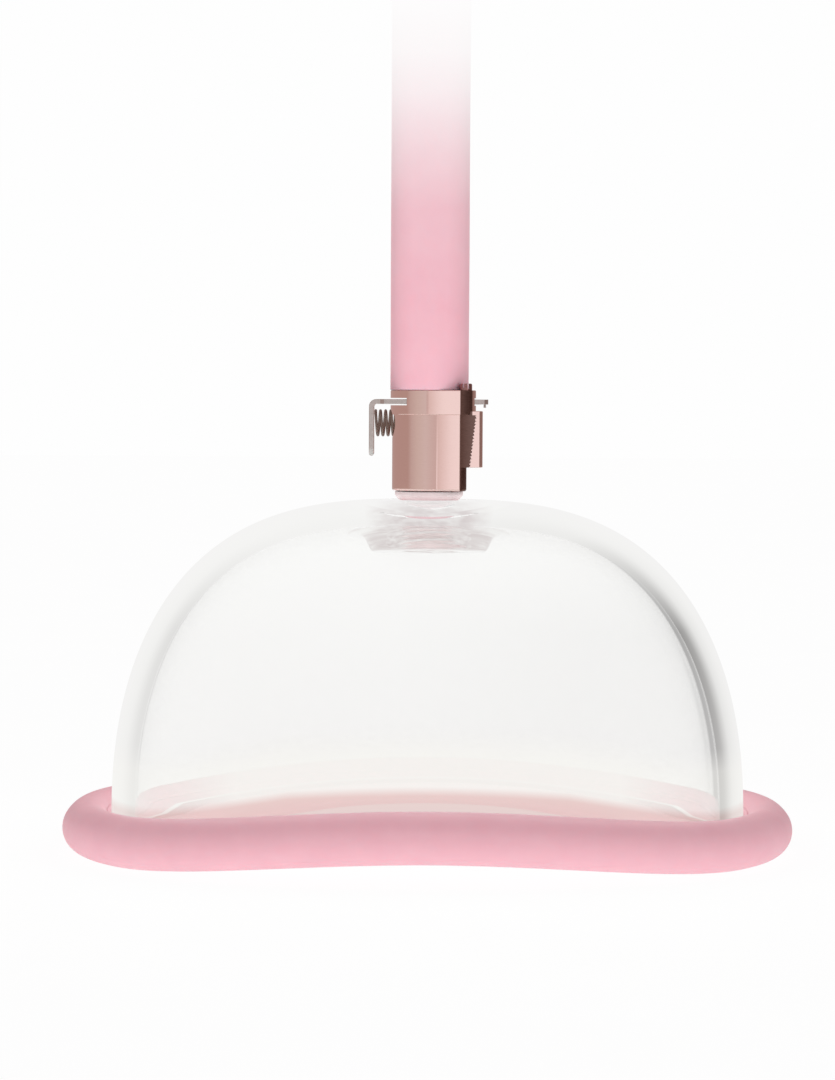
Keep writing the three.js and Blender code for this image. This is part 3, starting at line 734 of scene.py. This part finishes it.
def thread_radius(root, angles, height):
    """Radius of a rounded helical ridge."""
    phase = height / THREAD_PITCH - angles / (2 * np.pi)
    ridge = 1 - np.abs(2 * (phase - np.floor(phase)) - 1)
    return root + THREAD_DEPTH * np.clip(1.5 * ridge - 0.25, 0, 1)


def thread_rows(root, low, high, angles=ROUND_ANGLES, per_pitch=14):
    count = max(2, round(abs(high - low) / THREAD_PITCH * per_pitch))
    heights = np.linspace(low, high, count)
    return [circle_row(thread_radius(root, angles, z), z, angles) for z in heights]


def profile_rows(corners, angles=ROUND_ANGLES):
    """Rows round Z from an open outline of (radius, z, fillet) corners."""
    return [circle_row(r, z, angles) for r, z in rounded(corners, closed=False)]


def make_dome():
    seat_edge = 0.35
    outer = dome_rows(0.0, SEAT_RADIUS + seat_edge)
    inner = dome_rows(DOME_WALL, BOSS_RADIUS + 2.5)
    outer_top = outer[-1][:, 2].mean()
    inner_top = inner[-1][:, 2].mean()
    hole = THREAD_ROOT + THREAD_GAP
    seat = profile_rows([
        (SEAT_RADIUS + seat_edge, outer_top, 0),
        (SEAT_RADIUS, outer_top - 0.02, 0.3),
        (SEAT_RADIUS, SEAT_HEIGHT, 0.25),
        (hole + THREAD_DEPTH + 0.1, SEAT_HEIGHT, 0),
    ], PLAN_ANGLES)[1:]
    boss = profile_rows([
        (hole + THREAD_DEPTH + 0.1, BOSS_BOTTOM, 0),
        (BOSS_RADIUS - 1.5, BOSS_BOTTOM, 0.8),
        (BOSS_RADIUS, inner_top, 1.3),
        (BOSS_RADIUS + 2.4, inner_top, 0),
    ], PLAN_ANGLES)
    foot = [
        foot_row(outward, height) for outward, height in rounded([
            (-DOME_WALL, DOME_FOOT, 0),
            (-DOME_WALL, FOOT_BOTTOM, 0.5),
            (BEAD_WIDTH, FOOT_BOTTOM, 0.5),
            (BEAD_WIDTH, BEAD_TOP, 0.5),
            (0.0, BEAD_TOP, 0.4),
            (0.0, DOME_FOOT, 0),
        ], closed=False)
    ]
    rows = [
        *foot,
        *outer,
        *seat,
        *thread_rows(hole, SEAT_HEIGHT - 0.1, BOSS_BOTTOM + 0.1, PLAN_ANGLES),
        *boss,
        *reversed(inner),
    ]
    return skin("dome_clear", rows, looped=True, sharp_degrees=50)


# ---- silicone rim -------------------------------------------------------------------------

def make_rim():
    lobe = RIM_HEIGHT / 2
    middle = RIM_OVERHANG - lobe
    arc = [
        (middle + lobe * math.cos(a), lobe + lobe * math.sin(a), 0)
        for a in np.radians(np.linspace(-88, 142, 40))
    ]
    grip = 0.06
    section = rounded([
        (-6.8, 1.7, 0.7),
        (-4.0, 0.75, 3.0),
        (0.0, 0.2, 6.0),
        *arc,
        (0.75, 6.05, 0.5),
        (grip, 6.25, 0.12),
        (grip, BEAD_TOP + grip, 0),
        (BEAD_WIDTH + grip, BEAD_TOP + grip, 0),
        (BEAD_WIDTH + grip, FOOT_BOTTOM - grip, 0),
        (-DOME_WALL - grip, FOOT_BOTTOM - grip, 0),
        (-DOME_WALL - grip, 4.4, 0.3),
        (-6.8, 4.4, 1.1),
    ])
    rows = [foot_row(outward, height) for outward, height in section]
    return skin("rim_silicone", rows, looped=True, sharp_degrees=50)


# ---- nipple, washer and seals --------------------------------------------------------------

def make_nipple():
    bottom, top = NIPPLE_LOW[2], NIPPLE_HIGH[2]
    flange = NIPPLE_HIGH[0]
    plain = THREAD_ROOT + 0.3
    lower = profile_rows([
        (2.0, bottom, 0),
        (plain, bottom, 0.3),
        (plain, THREAD_END - 0.1, 0),
    ])
    collar = profile_rows([
        (THREAD_ROOT, SEAT_HEIGHT - 0.1, 0),
        (THREAD_ROOT - 0.1, FLANGE_BOTTOM, 0.1),
        (flange - 1.1, FLANGE_BOTTOM, 0.4),
        (flange, FLANGE_BOTTOM + 1.3, 0.6),
        (flange, FLANGE_TOP, 0.15),
        (THREAD_ROOT - 0.2, FLANGE_TOP, 0.1),
        (THREAD_ROOT - 0.2, UPPER_THREAD - 0.1, 0),
    ])
    rows = [
        *lower,
        *thread_rows(THREAD_ROOT, THREAD_END, SEAT_HEIGHT - 0.2),
        *collar,
        *thread_rows(THREAD_ROOT, UPPER_THREAD, top),
        circle_row(2.0, top),
    ]
    return skin("nipple_milky", rows, looped=True)


def make_washer():
    low, high = box_mm("nipple_washer")
    corners = [
        (4.5, low[2], 0.1), (high[0], low[2], 0.2), (high[0], high[2], 0.2), (4.5, high[2], 0.1),
    ]
    return turned("nipple_seal_washer", corners)


def make_ring(name, node):
    """A seal ring in the place of a CAD ring."""
    low, high = box_mm(node)
    wire = (high[2] - low[2]) / 2
    middle = high[0] - wire
    height = (high[2] + low[2]) / 2
    rows = [
        circle_row(middle + wire * math.cos(turn), height + wire * math.sin(turn))
        for turn in full_turn(20)
    ]
    return skin(name, rows, looped=True, sharp_degrees=80)


# ---- coupling body -------------------------------------------------------------------------

def arc_points(centre, radius, start, end, count):
    """Points along an arc, without its last one; the angles are in degrees."""
    turn = np.radians(np.linspace(start, end, count, endpoint=False))
    return [(centre[0] + radius * math.cos(t), centre[1] + radius * math.sin(t)) for t in turn]


def line_points(start, end, count):
    """Points along a line, without its last one."""
    return [
        (start[0] + (end[0] - start[0]) * t, start[1] + (end[1] - start[1]) * t)
        for t in np.linspace(0, 1, count, endpoint=False)
    ]


def front_line(radius, right, corner, flat_start):
    """The front of a plan from the start of its flat, round its corner, to its right side."""
    half = math.sqrt(radius ** 2 - flat_start ** 2)
    bend = (right - corner, corner - half)
    return [
        *line_points((flat_start, -half), (right - corner, -half), 14),
        *arc_points(bend, corner, -90, 0, 20),
        *line_points((right, corner - half), (right, 0.0), 8),
    ]


def barrel_plan(line, radius, flat_start, inset=0.0):
    """A whole plan: the front line, its mirror image at the back, and the round left side."""
    front = list(line)
    back = [(x, -y) for x, y in reversed(front)]
    start = math.degrees(math.acos(flat_start / radius))
    left = arc_points((0.0, 0.0), radius, start, 360 - start, 96)
    points = np.array(front + back[:-1] + left)
    if inset:
        along = np.roll(points, -1, axis=0) - np.roll(points, 1, axis=0)
        along /= np.maximum(np.linalg.norm(along, axis=1), 1e-9)[:, None]
        points = points + inset * np.column_stack([-along[:, 1], along[:, 0]])
    return points


def level(points, height):
    return np.column_stack([points, np.full(len(points), height)])


def edge_rows(shape, height, radius, rising, steps=5):
    """Rows of a rounded edge of the barrel: at its bottom if rising, otherwise at its top."""
    turns = np.linspace(0, math.pi / 2, steps)
    rows = []
    for turn in turns if rising else turns[::-1]:
        inset = radius * (1 - math.sin(turn))
        away = radius * (1 - math.cos(turn))
        rows.append(level(
            barrel_plan(*shape, inset=inset), height + away if rising else height - away))
    return rows


def make_shell(name, shape, low, high, edge):
    rows = [*edge_rows(shape, low, edge, True), *edge_rows(shape, high, edge, False)]
    return skin(name, rows, looped=False, sharp_degrees=30)


def make_bore():
    """What is cut out of the coupling: seal recess, thread, valve chamber, seat and socket."""
    thread = THREAD_ROOT + THREAD_GAP
    recess = [
        (SEAL_RECESS_RADIUS, BARREL_BOTTOM - 1, 0),
        (SEAL_RECESS_RADIUS, UPPER_THREAD - 0.1, 0.1),
        (thread, UPPER_THREAD - 0.1, 0),
    ]
    chamber_and_socket = [
        (thread, BODY_THREAD_END + 0.1, 0),
        (CHAMBER_RADIUS, BODY_THREAD_END + 0.15, 0),
        (CHAMBER_RADIUS, CHAMBER_TOP, 0.1),
        (VALVE_OPENING, CHAMBER_TOP, 0.05),
        (VALVE_OPENING, SOCKET_BOTTOM, 0.05),
        (SOCKET_RADIUS, SOCKET_BOTTOM, 0.1),
        (SOCKET_RADIUS, COLLAR_TOP - 0.2, 0),
        (SOCKET_RADIUS + 0.4, COLLAR_TOP + 0.2, 0),
        (SOCKET_RADIUS + 0.4, COLLAR_TOP + 1, 0),
    ]
    rows = [
        *profile_rows(recess),
        *thread_rows(thread, UPPER_THREAD, BODY_THREAD_END, per_pitch=10),
        *profile_rows(chamber_and_socket),
    ]
    return skin("bore", rows, looped=False)


def make_hollow(name, low, high, low_right, high_right, front):
    """A cutter for the shallow hollow beside the lug, with a torn right-hand edge."""
    near, far = -front - 1, -front + HOLLOW_DEPTH
    rows = []
    for z in np.linspace(low, high, 150):
        torn = 0.10 * math.sin(11.3 * z) + 0.08 * math.sin(24.7 * z + 1) + 0.04 * math.sin(43 * z)
        right = low_right + (high_right - low_right) * (z - low) / (high - low) + torn
        corners = ((HOLLOW_LEFT, near), (right, near), (right, far), (HOLLOW_LEFT, far))
        rows.append([(x, y, z) for x, y in corners])
    return skin(name, rows, looped=False)


def make_coupling_body():
    barrel_front = front_line(BARREL_RADIUS, BARREL_RADIUS, 1.3, BARREL_FLAT)
    lug_radius = BARREL_RADIUS - 0.02
    lug_front = front_line(lug_radius, LUG_RIGHT, 0.6, BARREL_FLAT)
    collar_front = front_line(COLLAR_RADIUS, COLLAR_RIGHT, 2.2, COLLAR_FLAT)
    barrel = make_shell(
        "coupling_shell", (barrel_front, BARREL_RADIUS, BARREL_FLAT),
        BARREL_BOTTOM, COLLAR_BOTTOM + 0.5, 0.35)
    collar = make_shell(
        "collar", (collar_front, COLLAR_RADIUS, COLLAR_FLAT), COLLAR_BOTTOM, COLLAR_TOP, 0.2)
    lug = make_shell("lug", (lug_front, lug_radius, BARREL_FLAT), LUG_BOTTOM, LUG_TOP, 0.12)
    body = cut(barrel, [lug, collar], "UNION")
    slot = block("slot", (-9.0, -5.2, SLOT_MIDDLE - 0.6), (9.0, 5.2, SLOT_MIDDLE + 0.6))
    well = rod("well", WELL_RADIUS, WELL_BOTTOM, COLLAR_TOP + 1, PIN_PLACE)
    recess = rod(
        "recess", PIN_RECESS_RADIUS, COLLAR_TOP - PIN_RECESS_DEPTH, COLLAR_TOP + 1, PIN_PLACE)
    pocket = rod("pocket", POCKET_RADIUS, 0.0, 2.0)
    pocket.data.transform(Matrix.Translation((POCKET_FACE * MM, 0, SPRING_HEIGHT * MM)) @ LYING)
    hollows = [
        make_hollow("hollow", BARREL_BOTTOM - 1, COLLAR_BOTTOM, 6.0, 7.6, BARREL_FRONT),
        make_hollow("collar_hollow", COLLAR_BOTTOM, COLLAR_TOP + 1, 6.7, 6.9, COLLAR_FRONT),
    ]
    return cut(body, [make_bore(), slot, well, recess, pocket, *hollows])


# ---- latch, pin and springs ----------------------------------------------------------------

def latch_path():
    """Points and outward directions along the middle of the plate, from the tab's lower end."""
    middle = BEND_RADIUS - PLATE_THICKNESS / 2
    centre = np.array((TAB_OUTER + BEND_RADIUS, PLATE_TOP - BEND_RADIUS))
    path = []
    tab_end = TAB_BOTTOM + TAB_ROUND * (1 - np.cos(np.linspace(0, math.pi / 2, 6, endpoint=False)))
    for z in [*tab_end, *np.linspace(TAB_BOTTOM + TAB_ROUND, centre[1], 26, endpoint=False)]:
        path.append(((TAB_OUTER + PLATE_THICKNESS / 2, z), (-1.0, 0.0)))
    for angle in np.linspace(math.pi, math.pi / 2, 12):
        out = np.array((math.cos(angle), math.sin(angle)))
        path.append((tuple(centre + middle * out), tuple(out)))
    height = PLATE_TOP - PLATE_THICKNESS / 2
    for x in np.linspace(centre[0], PLATE_RIGHT, 30)[1:]:
        path.append(((x, height), (0.0, 1.0)))
    return path


def latch_half_width(x, z):
    """Half the plate's width: rounded tab corners, a step to the wide part, rounded right end."""
    if x < TAB_OUTER + BEND_RADIUS:
        up = z - TAB_BOTTOM
        corner = 1.6
        if up < corner:
            return TAB_HALF_WIDTH - corner + math.sqrt(corner ** 2 - (corner - up) ** 2)
        return TAB_HALF_WIDTH
    step = min(1.0, max(0.0, (x - TAB_OUTER - BEND_RADIUS - 0.4) / 0.8))
    step = step * step * (3 - 2 * step)
    width = TAB_HALF_WIDTH + (PLATE_HALF_WIDTH - TAB_HALF_WIDTH) * step
    back = PLATE_RIGHT - x
    corner = 1.0
    if back < corner:
        width += math.sqrt(max(0.0, corner ** 2 - (corner - back) ** 2)) - corner
    return width


def latch_half_thickness(z):
    """Half the plate's thickness, which rounds off at the tab's lower end."""
    short = 1 - min(1.0, (z - TAB_BOTTOM) / TAB_ROUND)
    return max(0.08, PLATE_THICKNESS / 2 * math.sqrt(1 - short ** 2))


def make_latch():
    rows = []
    for (x, z), (out_x, out_z) in latch_path():
        width = latch_half_width(x, z)
        half = latch_half_thickness(z)
        edge = 0.3 * half
        outline = rounded([
            (-width, -half, edge), (width, -half, edge), (width, half, edge), (-width, half, edge),
        ], steps=3)
        rows.append([(x + out_x * up, y, z + out_z * up) for y, up in outline])
    plate = skin("latch_thumb_plate", rows, looped=False, sharp_degrees=35)
    low = SLOT_MIDDLE - 2
    high = SLOT_MIDDLE + 2
    hole = rod("hole", PLATE_HOLE_RADIUS, low, high, (PLATE_HOLE_X, 0.0))
    notch = block("notch", (PIN_PLACE[0] - 2.2, -6.0, low), (PIN_PLACE[0] + 0.9, -4.1, high), 0.3)
    plate = cut(plate, [hole, notch])
    ear = block("ear", (8.95, -1.4, PLATE_TOP - 1.35), (9.3, 1.4, PLATE_TOP - 0.2), 0.12)
    return cut(plate, [ear], "UNION")


def make_latch_spring():
    left = TAB_OUTER + PLATE_THICKNESS + 0.03
    right = POCKET_FACE - 0.03
    wire = 0.23
    path = coil_path(2.25 - wire, right - left - 2 * wire, 4.1, 0.2)
    place = Matrix.Translation((right - wire, 0, SPRING_HEIGHT)) @ LYING
    return sweep_tube("latch_coil_spring", moved(path, place), wire)


def make_upright_spring(name, node, radius, wire, turns, place=(0.0, 0.0)):
    """An upright coil in the place of a CAD spring."""
    low, high = box_mm(node)
    path = coil_path(radius, high[2] - low[2] - 2 * wire, turns)
    return sweep_tube(name, moved(path, Matrix.Translation((*place, low[2] + wire))), wire, 10)


def make_pin_spring():
    return make_upright_spring("pin_coil_spring", "cocking_pin_spring", 0.48, 0.1, 6.0, PIN_PLACE)


def make_valve_spring():
    return make_upright_spring("valve_coil_spring", "valve_spring", 2.75, 0.15, 3.2)


def make_pin():
    bottom, top = PIN_LOW[2], PIN_HIGH[2]
    head = (PIN_HIGH[0] - PIN_LOW[0]) / 2
    corners = [
        (0.3, bottom, 0), (0.5, bottom + 0.15, 0.05), (0.5, top - 1.2, 0), (head, top - 1.2, 0.1),
        (head, top, 0.22), (0.3, top, 0),
    ]
    pin = turned("pin_slotted", corners, looped=False)
    x, y = PIN_PLACE
    pin.data.transform(Matrix.Translation((x * MM, y * MM, 0)))
    slots = [
        block("pin_slot", (middle - 0.13, y - 1.5, top - 0.8), (middle + 0.13, y + 1.5, top + 1))
        for middle in (x - 0.37, x + 0.37)
    ]
    return cut(pin, slots)


# ---- valve, insert and hose ----------------------------------------------------------------

def make_poppet():
    bottom, top = POPPET_LOW[2], POPPET_HIGH[2]
    head = POPPET_HIGH[0]
    corners = [
        (0.4, bottom, 0), (head, bottom, 0.15), (head, bottom + 1.0, 0.15),
        (0.9, bottom + 1.0, 0.2), (0.9, top - 0.5, 0.1),
        (2.1, top - 0.5, 0.08), (2.1, top, 0.12), (0.4, top, 0),
    ]
    poppet = turned("valve_poppet_moulded", corners, looped=False)
    notches = []
    for turn in (0, 120, 240):
        notch = block("poppet_notch", (1.0, -0.5, top - 0.7), (3.0, 0.5, top + 1), 0.1)
        notch.data.transform(Matrix.Rotation(math.radians(turn), 4, "Z"))
        notches.append(notch)
    return cut(poppet, notches)


def make_insert():
    tip, top = INSERT_LOW[2], INSERT_HIGH[2]
    bore, radius = 1.5, 3.2
    seal_low, seal_high = 69.6, 70.9
    latch_low, latch_high = SLOT_MIDDLE - 0.8, SLOT_MIDDLE + 0.8
    corners = [
        (bore, tip, 0.2), (radius - 0.6, tip, 0.1), (radius, tip + 0.6, 0.2),
        (radius, seal_low, 0.08), (2.45, seal_low, 0.1),
        (2.45, seal_high, 0.1), (radius, seal_high, 0.08),
        (radius, latch_low, 0.1), (2.2, latch_low, 0.1),
        (2.2, latch_high, 0.1), (radius, latch_high, 0.1),
        (radius, HOSE_LOW[2] + 0.5, 0.1),
    ]
    low = HOSE_LOW[2] + 1
    while low + 3 < top:
        corners += [(2.9, low, 0.05), (3.7, low + 0.2, 0.06), (2.9, low + 2.9, 0.05)]
        low += 3
    corners += [(2.6, top, 0.1), (bore, top, 0.1)]
    return turned("hose_barbed_insert", corners)


def make_hose():
    """The hose: a thick soft tube, slightly uneven as extruded silicone is."""
    low, high = COLLAR_TOP + 0.03, HOSE_HIGH[2]
    radius = HOSE_HIGH[0]
    bore = 4.0
    steps = 5
    outline = rounded(
        [(bore, low, 0.1), (radius, low, 0.1), (radius, high, 0.3), (bore, high, 0.2)],
        steps=steps)
    low_in, low_out, high_out, high_in = (
        outline[corner * (steps + 1):(corner + 1) * (steps + 1)] for corner in range(4))
    side = [(radius, z) for z in np.linspace(low_out[-1][1], high_out[0][1], 60)[1:-1]]
    rows = []
    for r, z in [*low_out, *side, *high_out]:
        uneven = 0.02 * np.sin(2 * ROUND_ANGLES + z / 19) + 0.015 * math.sin(z / 7)
        rows.append(circle_row(r - 0.03 + uneven, z))
    rows += [circle_row(r, z) for r, z in [*high_in, *low_in]]
    return skin("hose_soft", rows, looped=True, sharp_degrees=50)


# ---- build every piece ---------------------------------------------------------------------

settle(make_dome(), "cup", ACRYLIC, "dome")
settle(make_rim(), "cup", RIM_PINK, "rim_seal")
settle(make_nipple(), "cup", NYLON, "threaded_nipple")
settle(make_washer(), "cup", RIM_PINK, "nipple_washer")
settle(make_coupling_body(), "cup", rose_gold_body(), "coupling_body")
settle(make_ring("body_seal_ring", "body_o_ring"), "cup", RUBBER, "body_o_ring")
latch_plate = settle(make_latch(), "latch", STAINLESS, "latch_plate")
settle(make_pin(), "pin", PIN_METAL, "cocking_pin")
settle(make_poppet(), "valve", WHITE_PLASTIC, "valve_poppet")
settle(make_ring("valve_seal_ring", "valve_seal"), "valve", RUBBER, "valve_seal")
settle(make_insert(), "hose", ROSE_GOLD, "hose_insert")
settle(
    make_ring("insert_seal_ring", "insert_o_ring"), "hose", RUBBER, "insert_o_ring")
settle(make_hose(), "hose", HOSE_PINK, "hose")

latch_spring = settle(
    make_latch_spring(), "cup", SPRING_STEEL, "latch_spring")
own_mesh(latch_spring)

# The polished barrel would mirror these two as dark streaks, which the real one doesn't show.
for thing in (latch_plate, latch_spring):
    thing.visible_glossy = False

for maker, node, joint, travel in (
    (make_pin_spring, "cocking_pin_spring", "cocking_pin_press", PIN_TRAVEL),
    (make_valve_spring, "valve_spring", "valve_press", VALVE_TRAVEL),
):
    spring = settle(maker(), "cup", SPRING_STEEL, node)
    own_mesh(spring)


# ---- stage: floor, light, camera -----------------------------------------------------------

CAMERA_DISTANCE = 0.560
CAMERA_HEIGHT = SLOT_MIDDLE * MM
AIM = Vector((-0.00185, 0.0, 0.0511))
FRAME_HEIGHT = 0.1782
SENSOR = 36.0
ROLL = math.radians(0.3)


def make_sheet(name, corners, material, hidden_from, height=0.0):
    """A four-cornered sheet of the stage, hidden from the named kinds of ray."""
    mesh = bpy.data.meshes.new(name)
    mesh.from_pydata(corners, [], [(0, 1, 2, 3)])
    mesh.materials.append(material)
    sheet = bpy.data.objects.new(name, mesh)
    sheet.location.z = height
    for ray in hidden_from:
        setattr(sheet, f"visible_{ray}", False)
    bpy.context.scene.collection.objects.link(sheet)


def make_floor():
    """A plain white floor that glows a little, so that it meets the white background."""
    n = Nodes("studio_floor")
    bounced = n.add("ShaderNodeLightPath").outputs["Is Diffuse Ray"]
    glow = n.glow(grey(1.0), n.scaled(bounced, 0.0, 1.0, 0.95, 1.10))
    matt = n.add("ShaderNodeBsdfDiffuse")
    n.set(matt, Color=n.mottle(n.noise(30.0, 2.0), grey(0.06), grey(0.065)))
    both = n.in_order(n.add("ShaderNodeAddShader"), [glow, matt.outputs["BSDF"]])
    material = n.finish(both.outputs["Shader"])
    half = 4.0
    corners = [(-half, -half, 0), (half, -half, 0), (half, half, 0), (-half, half, 0)]
    make_sheet("studio_floor", corners, material, ("glossy", "transmission"), height=-0.0002)


# Brightness and tint of the surroundings by heading, seen from the cup. A heading of 0 is
# towards the camera, 90 towards the picture's right (+X) and -90 towards its left.
MIRRORED = [
    (-180, (0.50, 0.37, 0.35)), (-70, (0.50, 0.37, 0.34)), (-58, (0.59, 0.49, 0.47)),
    (-38, (0.66, 0.58, 0.55)), (-12, (0.70, 0.63, 0.62)), (19, (0.66, 0.55, 0.54)),
    (22, (0.80, 0.68, 0.67)), (30, (1.00, 0.94, 0.96)), (42, (1.05, 1.00, 1.02)),
    (46, (0.26, 0.18, 0.16)), (110, (0.30, 0.21, 0.19)), (150, (0.42, 0.31, 0.29)),
    (180, (0.60, 0.50, 0.48)),
]
# The same seen through the clear dome: white, with a thin grey card at the back left and a
# dark one at the back right.
SEEN_THROUGH = [(heading, grey(value)) for heading, value in (
    (-180, 1.0), (-147, 1.0), (-146, 0.25), (-143, 0.25), (-142, 0.95), (-90, 0.9), (0, 0.9),
    (90, 0.9), (143, 0.95), (146, 0.04), (155, 0.04), (159, 1.0), (180, 1.0),
)]
# Light on matt surfaces by the height it comes from: below, level and above.
SOFT_LIGHT = [(0.0, grey(0.95)), (0.5, grey(0.86)), (1.0, (0.42, 0.385, 0.39))]
CAMERA_WHITE = 0.991


def make_world():
    """Studio surroundings, set apart for each kind of ray: plain white to the camera, banded
    for reflections, white with dark cards through the dome, and soft on matt surfaces."""
    n = Nodes("studio", world=True)
    x, y, z = n.split(n.add("ShaderNodeTexCoord").outputs["Generated"])
    heading = n.math("ARCTAN2", x, n.math("MULTIPLY", y, -1.0))
    turn = n.math("MULTIPLY_ADD", heading, 1 / (2 * math.pi), 0.5)
    height = n.math("MULTIPLY_ADD", z, 0.5, 0.5)
    path = n.add("ShaderNodeLightPath").outputs

    def by_heading(stops):
        return n.ramp(turn, [(degrees / 360 + 0.5, colour) for degrees, colour in stops])

    colour = n.blend(path["Is Glossy Ray"], n.ramp(height, SOFT_LIGHT), by_heading(MIRRORED))
    colour = n.blend(path["Is Transmission Ray"], colour, by_heading(SEEN_THROUGH))
    colour = n.blend(path["Is Camera Ray"], colour, grey(CAMERA_WHITE))
    background = n.set(n.add("ShaderNodeBackground"), Color=colour)
    world = n.finish(background.outputs["Background"])
    world.cycles.sampling_method = "NONE"
    bpy.context.scene.world = world


# The veil of painted light that washes the hose out to white: its distance from the camera and
# half its width in metres, the heights on the hose between which it fades, and its cover along the
# way.
VEIL_AWAY = 0.13
VEIL_HALF_WIDTH = 0.03
HOSE_FADE = (0.089, 0.142)
VEIL_COVER = [(0.0, 0.0), (0.31, 0.12), (0.50, 0.41), (0.68, 0.75), (0.80, 0.90), (1.0, 1.0)]


def make_veil():
    """A graded, glowing white screen of painted light in front of the hose's upper end, where it
    fades out.
    """
    low, high = (
        CAMERA_HEIGHT + (height - CAMERA_HEIGHT) * VEIL_AWAY / CAMERA_DISTANCE
        for height in HOSE_FADE)
    n = Nodes("studio_veil")
    _, _, z = n.split(n.place)
    cover = n.ramp(
        n.scaled(z, low, high, 0.0, 1.0), [(at, grey(value)) for at, value in VEIL_COVER])
    clear = n.add("ShaderNodeBsdfTransparent").outputs["BSDF"]
    # Painted light: the screen glows white to the camera only.
    material = n.finish(n.mix(cover, clear, n.glow(grey(1.0), CAMERA_WHITE)))
    half, y = VEIL_HALF_WIDTH, VEIL_AWAY - CAMERA_DISTANCE
    corners = [(-half, y, low), (half, y, low), (half, y, high), (-half, y, high)]
    make_sheet(
        "studio_veil", corners, material,
        ("diffuse", "glossy", "transmission", "volume_scatter", "shadow"))


def make_camera():
    camera = bpy.data.cameras.new("camera")
    camera.sensor_width = SENSOR
    camera.clip_start = 0.01
    thing = bpy.data.objects.new("camera", camera)
    thing.location = (AIM.x, -CAMERA_DISTANCE, CAMERA_HEIGHT)
    look = AIM - thing.location
    camera.lens = SENSOR * look.length / FRAME_HEIGHT
    turn = look.to_track_quat("-Z", "Y").to_matrix().to_4x4() @ Matrix.Rotation(ROLL, 4, "Z")
    thing.rotation_euler = turn.to_euler()
    bpy.context.scene.collection.objects.link(thing)
    bpy.context.scene.camera = thing


make_floor()
make_world()
make_veil()
make_camera()

scene = bpy.context.scene
scene.view_settings.view_transform = "Standard"
scene.cycles.max_bounces = 16
scene.cycles.transmission_bounces = 14
scene.cycles.transparent_max_bounces = 12
scene.cycles.caustics_reflective = False
scene.cycles.caustics_refractive = False
